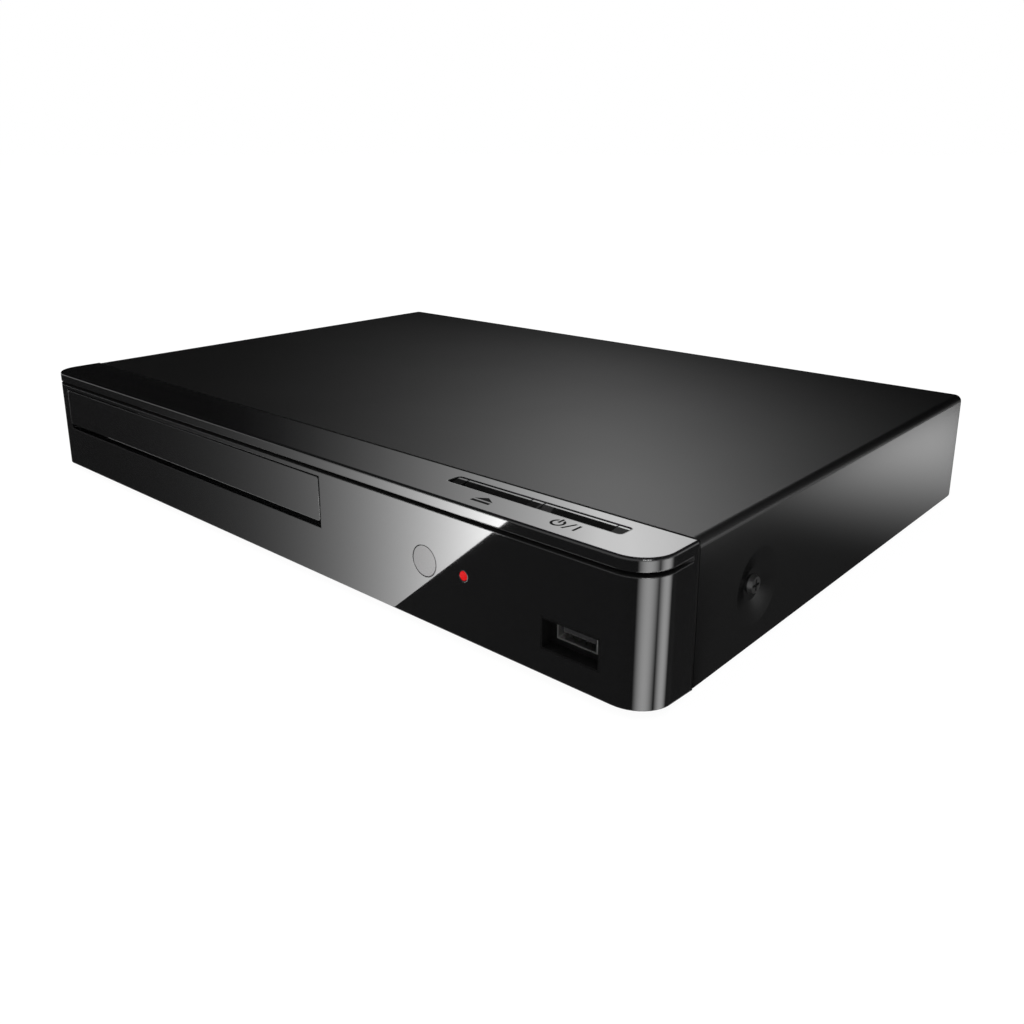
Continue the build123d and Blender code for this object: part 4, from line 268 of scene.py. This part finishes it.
# Pins of the mains inlet: drawn brass with a little tarnish.
# They are pressed into the back of the inlet's mouth.
brass, shader, place = surface("contact_brass", Metallic=1.0)
tarnish = place.noise(800.0, 3.0)
feed(shader, Base_Color=tarnish.tint((0.6, 0.47, 0.2), (0.78, 0.64, 0.32)), Roughness=0.18 + tarnish * 0.15)
wear(brass, "inlet_pins")

# Front bezel, tray door and keys: black mouldings from polished tools, as smooth as glass, with eased edges.
# The groove, the seam at the cover, the keys' trough and the front socket's recess carry painted shade: a
# dark dull finish in place of the shade that falls in them, painted a little lighter in the groove and on the
# fixed blocks. Plain open-close and standby signs are printed in dull ink on the strip in front of the keys.
gloss, shader, place = surface("gloss_black")
wave = place.noise(90.0, 1.0)
haze = place.noise(500.0, 4.0)
edge_radius = 0.0005
eased = place.node("ShaderNodeBevel", 0, {"Radius": edge_radius}, samples=6)
feed(shader, Base_Color=haze.tint((0.0035, 0.0035, 0.0037), (0.0055, 0.0055, 0.0058)),
     Roughness=0.03 + haze * 0.02, Normal=wave.bump(0.000004, Normal=eased))
across, along, up = (place.axis(name) for name in "XYZ")

# Where the painted shade goes: the groove, the seam at the cover, the keys' trough and the socket's recess.
groove_bottom, groove_top, groove_end = 0.03808, 0.03942, -0.0914
groove = up.between(groove_bottom, groove_top) * (along < groove_end)
seam_front, seam_rear = -0.0896, -0.0880
seam = along.between(seam_front, seam_rear)
trough_bottom, trough_top, trough_front, trough_rear, trough_reach = 0.0395, 0.0428, -0.0995, -0.0950, 0.15
trough = (up.between(trough_bottom, trough_top) * along.between(trough_front, trough_rear)
          * (abs(across) < trough_reach))
block_middle, block_half, end_block = 0.11236, 0.00225, 0.1353
blocks = trough * (across.within(block_half, block_middle) + (across > end_block))
front_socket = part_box("usb_shell")
pit_middle = (front_socket[0][0] + front_socket[1][0]) / 2
pit_half, pit_height, pit_half_height, pit_rear = 0.0096, 0.0146, 0.0047, -0.1
pit = across.within(pit_half, pit_middle) * up.within(pit_half_height, pit_height) * (along < pit_rear)

open_close_x, open_close_y = 0.0970, -0.1037
lid_x, lid_y = across - open_close_x, along - open_close_y
arrow_half, arrow_base, arrow_slope = 0.0034, -0.0002, 1.5
arrow = (lid_y > arrow_base) * (abs(lid_x) < arrow_half - (lid_y - arrow_base) * arrow_slope)
sill_middle, sill_half = -0.0015, 0.0006
sill = lid_y.within(sill_half, sill_middle) * (abs(lid_x) < arrow_half)
standby_x, standby_y = 0.1226, -0.1032
on_x, on_y = across - standby_x, along - standby_y
line_half = 0.0004
ring_radius, ring_gap = 0.0018, 0.0008
reach = place.math("SQRT", on_x * on_x + on_y * on_y)
ring = reach.within(line_half, ring_radius) * (1 - (abs(on_x) < ring_gap) * (on_y > 0))
stroke_middle, stroke_half = 0.0014, 0.0013
stroke = (abs(on_x) < line_half) * on_y.within(stroke_half, stroke_middle)
slash_x, slash_lean, slash_half = 0.0037, 0.4, 0.0022
slash = (abs(on_x - slash_x - on_y * slash_lean) < line_half) * (abs(on_y) < slash_half)
bar_x, bar_half = 0.0062, 0.0019
bar = on_x.within(line_half, bar_x) * (abs(on_y) < bar_half)
strip_level = 0.0429
signs = (up > strip_level) * (arrow + sill + ring + stroke + slash + bar)

# Painted shade: this dark dull finish stands in for the shade in the groove, seam, trough and socket recess,
# with a little painted light in the groove and on the fixed blocks. The signs use it as real printed ink.
ink_and_shade_tone = (haze * 0.2 + groove * 0.35 + blocks * 0.7).tint((0.002, 0.002, 0.002), (0.032, 0.032, 0.032))
ink_and_painted_shade = place.node("ShaderNodeBsdfPrincipled", 0, {
    "Base Color": ink_and_shade_tone, "Roughness": 0.6, "Specular IOR Level": 0.05})
place.node("ShaderNodeMixShader", 0, {
    0: groove + seam + trough + pit + signs, 1: Sock(place.tree, shader.outputs[0]), 2: ink_and_painted_shade}).show()
wear(gloss, "front_bezel", "tray_door", "open_close_key", "power_key", "key_surround")

# Remote-control window and power light: a dark red filter disc, and a clear red light pipe that glows
# from the indicator behind it. Each has a collar behind the front wall.
filter_disc, shader, place = surface("smoked_window", Specular_IOR_Level=0.42)
depth = place.noise(400.0, 2.0)
feed(shader, Base_Color=depth.tint((0.010, 0.008, 0.009), (0.017, 0.012, 0.013)),
     Roughness=0.1 + depth * 0.05)
wear(filter_disc, "ir_window")

glow, shader, place = surface("red_light", Emission_Strength=0.5, Specular_IOR_Level=0.15)
core = place.noise(900.0, 1.0)
feed(shader, Base_Color=core.tint((0.2, 0.001, 0.002), (0.3, 0.002, 0.003)),
     Emission_Color=core.tint((0.8, 0.001, 0.003), (1.0, 0.003, 0.006)), Roughness=0.2 + core * 0.05)
wear(glow, "power_light")

# Rear panel and top cover: thin steel sheet with a satin black paint that has a fine even grain.
# The cover slides over the chassis and is held by one screw on each side and three at the back. Its top has
# a softer shine than its sides, and a painted sheen: its coat is laid on thicker at the front than at the
# rear.
painted, shader, place = surface("black_steel", Specular_IOR_Level=0.0, Coat_Weight=0.125,
                                 Coat_Roughness=0.22, Coat_IOR=4.0)
grain = place.noise(3500.0, 2.0)
mottle = place.noise(25.0, 2.0)
fold_radius = 0.0004
folds = place.node("ShaderNodeBevel", 0, {"Radius": fold_radius}, samples=4)
paint = dict(Base_Color=(grain * 0.6 + mottle * 0.4).tint((0.001, 0.001, 0.0011), (0.003, 0.003, 0.0032)),
             Roughness=0.5 + grain * 0.1, Normal=grain.bump(0.000004, Normal=folds))
feed(shader, **paint)
# Painted sheen: the top's coat thins from front to rear, so that its reflection is brighter at the front.
middle_shine, shine_slope = 0.205, 1.3
painted_sheen_coat = (middle_shine - place.axis("Y") * shine_slope) * (0.96 + mottle * 0.08)
lid = place.node("ShaderNodeBsdfPrincipled", 0, {
    **{key.replace("_", " "): value for key, value in paint.items()}, "Specular IOR Level": 0.0,
    "Coat Weight": painted_sheen_coat, "Coat Roughness": 0.36, "Coat IOR": 4.0})
roll_foot, roll_rise = 0.0408, 0.0012
level = place.node("ShaderNodeClamp", 0, {0: (place.axis("Z") - roll_foot) / roll_rise})
place.node("ShaderNodeMixShader", 0, {0: level, 1: Sock(place.tree, shader.outputs[0]), 2: lid}).show()
wear(painted, "top_cover", "rear_panel")

# Cover screws: blackened steel pan heads with a cross recess and a rolled thread, three through the rear
# flange of the cover and one in the dish on each side. One tree makes a screw from its sizes and sets it
# on each seat.
oxide, shader, place = surface("black_screw", Specular_IOR_Level=0.35)
scuff = place.noise(1500.0, 3.0)
feed(shader, Base_Color=scuff.tint((0.008, 0.008, 0.008), (0.024, 0.024, 0.024)),
     Roughness=0.34 + scuff * 0.2)
wear(oxide, "side_cover_screws", "rear_cover_screws")


def cover_screws(name, node, places):
    """The screws of one node: places gives each seat and the way its head looks."""
    sizes = {"Head Radius": 0.003, "Head Top Radius": 0.0024, "Head Height": 0.0013, "Core Radius": 0.0012,
             "Shank Length": 0.005, "Thread Radius": 0.0003, "Recess Length": 0.0036, "Recess Width": 0.0008,
             "Recess Depth": 0.0009}
    tree = bpy.data.node_groups.new(name, "GeometryNodeTree")
    tree.interface.new_socket("Points", in_out="INPUT", socket_type="NodeSocketGeometry")
    keys = {}
    for key in sizes:
        keys[key] = tree.interface.new_socket(key, in_out="INPUT", socket_type="NodeSocketFloat").identifier
    tree.interface.new_socket("Screws", in_out="OUTPUT", socket_type="NodeSocketGeometry")
    entry = tree.nodes.new("NodeGroupInput")
    given = {key: Sock(tree, entry.outputs[key]) for key in ("Points", *sizes)}
    points, high, shank = given["Points"], given["Head Height"], given["Shank Length"]

    def lifted(solid, height):
        spot = points.node("ShaderNodeCombineXYZ", 0, {2: height})
        return points.node("GeometryNodeTransform", 0, {"Geometry": solid, "Translation": spot})

    head = points.node("GeometryNodeMeshCone", 0, {
        "Vertices": 40, "Radius Bottom": given["Head Radius"], "Radius Top": given["Head Top Radius"],
        "Depth": high})
    # The second cut is less deep, so that the floors of the two cuts don't lie in one plane.
    cuts = (("Recess Length", "Recess Width", 2.0), ("Recess Width", "Recess Length", 1.8))
    for long, wide, depths in cuts:
        size = points.node("ShaderNodeCombineXYZ", 0, {
            0: given[long], 1: given[wide], 2: given["Recess Depth"] * depths})
        cut = lifted(points.node("GeometryNodeMeshCube", 0, {"Size": size}), high)
        head = points.node("GeometryNodeMeshBoolean", 0, {"Mesh 1": head, "Mesh 2": cut},
                           operation="DIFFERENCE")
    core = points.node("GeometryNodeMeshCylinder", 0, {
        "Vertices": 24, "Radius": given["Core Radius"], "Depth": shank})
    plain_end = 0.05
    ridge = points.node("GeometryNodeCurveSpiral", 0, {
        "Resolution": 20, "Rotations": 8.0, "Start Radius": given["Core Radius"],
        "End Radius": given["Core Radius"], "Height": shank * (1 - 2 * plain_end)})
    edge = points.node("GeometryNodeCurvePrimitiveCircle", 0, {
        "Resolution": 3, "Radius": given["Thread Radius"]})
    thread = points.node("GeometryNodeCurveToMesh", 0, {
        "Curve": ridge, "Profile Curve": edge, "Fill Caps": True})
    whole = tree.nodes.new("GeometryNodeJoinGeometry")
    for solid in (head, lifted(core, shank * -0.5), lifted(thread, shank * (plain_end - 1))):
        tree.links.new(solid.out, whole.inputs[0])
    facing = points.node("GeometryNodeInputNamedAttribute", 0, {"Name": "facing"}, data_type="FLOAT_VECTOR")
    turned = points.node("FunctionNodeAlignRotationToVector", 0, {"Vector": facing}, axis="Z")
    placed = points.node("GeometryNodeInstanceOnPoints", 0, {
        "Points": points, "Instance": Sock(tree, whole.outputs[0]), "Rotation": turned})
    solid = points.node("GeometryNodeRealizeInstances", 0, {0: placed})
    solid = points.node("GeometryNodeSetMaterial", 0, {0: solid, "Material": oxide})
    tree.links.new(solid.out, tree.nodes.new("NodeGroupOutput").inputs[0])

    seats = bpy.data.meshes.new(name)
    seats.from_pydata([seat for seat, _ in places], [], [])
    for item, (_, way) in zip(seats.attributes.new("facing", "FLOAT_VECTOR", "POINT").data, places):
        item.vector = way
    screws = bpy.data.objects.new(name, seats)
    scene.collection.objects.link(screws)
    maker = screws.modifiers.new("maker", "NODES")
    maker.node_group = tree
    for key, value in sizes.items():
        maker[keys[key]] = value
    made = bpy.data.meshes.new_from_object(screws.evaluated_get(bpy.context.evaluated_depsgraph_get()))
    made.materials.clear()
    made.materials.append(oxide)
    made.polygons.foreach_set("material_index", [0] * len(made.polygons))
    screws.modifiers.clear()
    screws.data = made
    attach(screws, "case")
    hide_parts(node)


rear_x, rear_y, rear_z = 0.118, 0.1085, 0.0375
cover_screws("rear_screws", "rear_cover_screws",
             [((x * rear_x, rear_y, rear_z), (0, 1, 0)) for x in (-1, 0, 1)])
side_x, side_y, side_z = 0.1542, -0.0563, 0.0193
cover_screws("side_screws", "side_cover_screws",
             [((x * side_x, side_y, side_z), (x, 0, 0)) for x in (-1, 1)])

# Camera: set back and to the right of the front, a little above it, as in the photograph.
# Its place and lens come from a fit to the outline of the case, with the middle of the picture shifted.
eye = bpy.data.objects.new("eye", bpy.data.cameras.new("eye"))
scene.collection.objects.link(eye)
eye.data.lens = 33.95
eye.data.shift_y = -0.08687
eye.data.sensor_width = 36.0
eye.data.clip_start = 0.01
turn, lift = math.radians(41.647), math.radians(15.689)
back = Matrix.Rotation(turn, 3, "Z") @ Matrix.Rotation(-lift, 3, "X") @ Vector((0, -1, 0))
middle = Vector((0.002613, 0.013978, 0.022569))
distance = 0.414583
seat = middle + distance * back
eye.matrix_world = Matrix.Translation(seat) @ (
    Matrix.Rotation(turn, 4, "Z") @ Matrix.Rotation(math.pi / 2 - lift, 4, "X"))
scene.camera = eye


# Floor: a wide pale sheet that runs out of sight.
# It looks white to the eye and in polished faces, and it takes a soft shadow of the case.
def bare_material(name):
    """A material with nothing in it but its output."""
    made = bpy.data.materials.new(name)
    made.use_nodes = True
    made.node_tree.nodes.clear()
    made.node_tree.nodes.new("ShaderNodeOutputMaterial")
    return made


def looked_at(tree):
    """One for rays of the eye, straight or by way of a polished or clear face, and nought for others."""
    rays = tree.nodes.new("ShaderNodeLightPath")
    straight, polished, clear = (
        Sock(tree, rays.outputs[kind]) for kind in ("Is Camera Ray", "Is Glossy Ray", "Is Transmission Ray"))
    return straight + polished + clear


floor_half = 40.0
floor_mesh = bpy.data.meshes.new("floor")
floor_mesh.from_pydata([(x * floor_half, y * floor_half, 0) for x, y in ((-1, -1), (1, -1), (1, 1), (-1, 1))],
                       [], [(0, 1, 2, 3)])
floor = bpy.data.objects.new("floor", floor_mesh)
scene.collection.objects.link(floor)
pale = bare_material("floor_white")
seen = looked_at(pale.node_tree)
paper = seen.node("ShaderNodeBsdfDiffuse", 0, {"Color": (0.85, 0.85, 0.85, 1)})
white = seen.node("ShaderNodeEmission", 0, {"Color": (1, 1, 1, 1), "Strength": 1.06})
seen.node("ShaderNodeMixShader", 0, {0: seen * 0.9, 1: paper, 2: white}).show()
floor_mesh.materials.append(pale)

# World and lamps: even soft light from all round, with a broad lamp above and one at the front left.
# Polished faces don't show the lamps.
world = bpy.data.worlds.new("studio")
scene.world = world
world.use_nodes = True
world.node_tree.nodes.clear()
shade = 0.6
level = looked_at(world.node_tree) * (1 - shade) + shade
sky = level.node("ShaderNodeBackground", 0, {"Strength": 1.0, "Color": level})
world.node_tree.links.new(sky.out, world.node_tree.nodes.new("ShaderNodeOutputWorld").inputs[0])
lamps = {"lamp_above": ((0.1, -0.1, 1.5), 1.6, 9.0), "lamp_left": ((-1.2, -1.0, 0.9), 1.0, 5.0)}
for name, (spot, size, power) in lamps.items():
    lamp = bpy.data.objects.new(name, bpy.data.lights.new(name, "AREA"))
    lamp.data.size = size
    lamp.data.energy = power
    lamp.location = spot
    lamp.rotation_euler = (-lamp.location).to_track_quat("-Z", "Y").to_euler()
    lamp.visible_glossy = False
    scene.collection.objects.link(lamp)


# Studio cards: sheets that only show in polished surfaces, as light boxes and black flags do.
# Each is a grid whose points carry their own brightness. The first two lie on the floor before the front, and
# meet in a slanting line.
def card(name, columns, rows, point):
    """A grid of columns by rows, where point gives the place and the brightness for two shares."""
    made = [point(i / columns, j / rows) for j in range(rows + 1) for i in range(columns + 1)]
    wide = columns + 1
    faces = [(j * wide + i, j * wide + i + 1, (j + 1) * wide + i + 1, (j + 1) * wide + i)
             for j in range(rows) for i in range(columns)]
    mesh = bpy.data.meshes.new(name)
    mesh.from_pydata([spot for spot, _ in made], [], faces)
    shine = mesh.attributes.new("shine", "FLOAT", "POINT")
    for item, (_, value) in zip(shine.data, made):
        item.value = value
    sheet = bpy.data.objects.new(name, mesh)
    scene.collection.objects.link(sheet)
    sheet.visible_camera = sheet.visible_diffuse = sheet.visible_shadow = False
    lit = bare_material(name)
    reader = lit.node_tree.nodes.new("ShaderNodeAttribute")
    reader.attribute_name = "shine"
    bright = Sock(lit.node_tree, reader.outputs["Fac"])
    bright.node("ShaderNodeEmission", 0, {"Strength": 1.0, "Color": bright}).show()
    mesh.materials.append(lit)


face_x, face_y, face_z = cad_box[1][0], cad_box[0][1], cad_box[1][2]
bend = 0.0104
left_x, right_x = bend - face_x, face_x - bend
card_lift = 0.0004
lowest = 0.0005
slant_foot_x, slant_foot_z, slant_head_x, slant_head_z = 0.06611, 0.00305, 0.11007, 0.04121


def on_floor(x, y, z, heading):
    """Where the floor shows in an upright polished face with this heading, for the eye."""
    ahead = Vector((math.sin(heading), -math.cos(heading), 0))
    sight = Vector((x, y, z)) - seat
    spot = Vector((x, y, z)) + z / (seat.z - z) * (sight - 2 * sight.dot(ahead) * ahead)
    return (spot.x, spot.y, card_lift)


def slant_x(z):
    """Where the slanting line crosses the front at a height."""
    return slant_foot_x + (z - slant_foot_z) * (slant_head_x - slant_foot_x) / (slant_head_z - slant_foot_z)


def front_light(i, j):
    """Grows lighter from the left end to the slanting line."""
    z = lowest + face_z * j
    x = left_x + (slant_x(z) - left_x) * i
    dimmest, gain, growth = 0.034, 0.465, 34.0
    return on_floor(x, face_y, z, 0), dimmest + gain * math.exp(growth * x)


def front_flag(i, j):
    """Evenly dark from the slanting line to the right end."""
    z = lowest + face_z * j
    dark = 0.09
    return on_floor(slant_x(z) + (right_x - slant_x(z)) * i, face_y, z, 0), dark


card("front_light", 60, 8, front_light)
card("front_flag", 4, 8, front_flag)


# Before the right front corner two narrow light strips lie on the floor, and beside the case a sheet that
# grows lighter to the rear. The left front corner has a black flag.
def portion(value):
    """A value kept between nought and one."""
    return min(max(value, 0.0), 1.0)


def at_corner(middle_x, heading, z):
    """Where the floor shows in a rounded corner of the front."""
    return on_floor(middle_x + bend * math.sin(heading), face_y + bend - bend * math.cos(heading), z, heading)


def corner_light(i, j):
    """Two strips with soft edges, which turn and widen a little to the top."""
    heading = 90.0 * i

    def strip(middle, half, power):
        return power * portion(1 - ((heading - middle) / half) ** 2) ** 1.2

    wide = strip(43.8 + 2.8 * j, 14.6 + 1.2 * j, 6.0)
    thin = strip(68.8 + 3.2 * j, 9.9 + 1.6 * j, 4.9)
    dark = 0.1
    return at_corner(right_x, math.radians(heading), lowest + face_z * j), dark + max(wide, thin)


def left_flag(i, j):
    dark, arc = 0.03, math.radians(20)
    return at_corner(left_x, -arc * i, lowest + face_z * j), dark


side_length, return_length = 0.212, 0.021
rise_start, rise_length = 0.022, 0.175


def side_light(i, j):
    """Dark beside the return of the front, less so beside the cover, and light to the rear."""
    y = face_y + bend + side_length * i
    spot = on_floor(face_x, y, lowest + face_z * j, math.pi / 2)
    dark = 0.2 if y > face_y + return_length else 0.06
    share = portion((spot[1] - rise_start) / rise_length)
    return spot, dark + (5.4 + 3.4 * j) * share * share * (3 - 2 * share)


card("corner_light", 240, 4, corner_light)
card("left_flag", 10, 8, left_flag)
card("side_light", 44, 8, side_light)


# Behind and above is a dark curtain with one soft light box, which shades the top of the case.
# It is a piece of a wide dome, and is a little paler to the right and overhead.
def overhead(radius, heading, height):
    """A point of a dome, by its heading from the rear and its height, in degrees."""
    a, e = math.radians(heading), math.radians(height)
    return radius * Vector((math.sin(a) * math.cos(e), math.cos(a) * math.cos(e), math.sin(e)))


curtain_radius = 30.0


def curtain(i, j):
    """The light box fades to all sides, and is brighter at its upper right, which the strip shows."""
    heading, height = -140.0 + 250.0 * i, 1.0 + 79.0 * j
    box_heading, box_half, box_power, box_fade = -35.5, 24.5, 3.6, 2.2
    box = box_power * max(1 - abs(heading - box_heading) / box_half, 0.0) ** box_fade
    box_foot, box_rise, box_most, box_top, box_soft = 8.9, 13.3, 1.5, 29.0, 3.0
    box *= min(max((height - box_foot) / box_rise, 0.0), box_most) * portion((box_top - height) / box_soft)
    end_gain, end_heading, end_width, end_foot, end_rise = 0.52, -36.8, 6.6, 19.0, 3.0
    end = portion((heading - end_heading) / end_width) * portion((height - end_foot) / end_rise)
    black, right_level, right_from, right_width = 0.004, 0.12, 5.0, 35.0
    aside = right_level * portion((heading - right_from) / right_width)
    high_level, high_from, high_rise = 0.05, 31.0, 6.0
    above = high_level * portion((height - high_from) / high_rise)
    return overhead(curtain_radius, heading, height), black + box * (1 + end_gain * end) + max(aside, above)


card("curtain", 125, 79, curtain)


# High up in front it is dark as well, so that the eased edges draw thin dark lines.
# This flag is a piece of a dome too, a little inside the curtain's.
def high_flag(i, j):
    dark, gap = 0.1, 1.0
    return overhead(curtain_radius - gap, 100 + 160 * i, 36 + 53 * j), dark


card("high_flag", 48, 8, high_flag)


# A small light box stands beside the eye, turned to the case.
# It shows in the screw dish on the right side and on the edges of the sockets.
def box_light(i, j):
    near_x, near_y, low_z, step, tall, power = 0.66, -0.36, 0.05, 0.16, 0.2, 14.0
    return (near_x - step * i, near_y - step * i, low_z + tall * j), power


card("box_light", 2, 2, box_light)
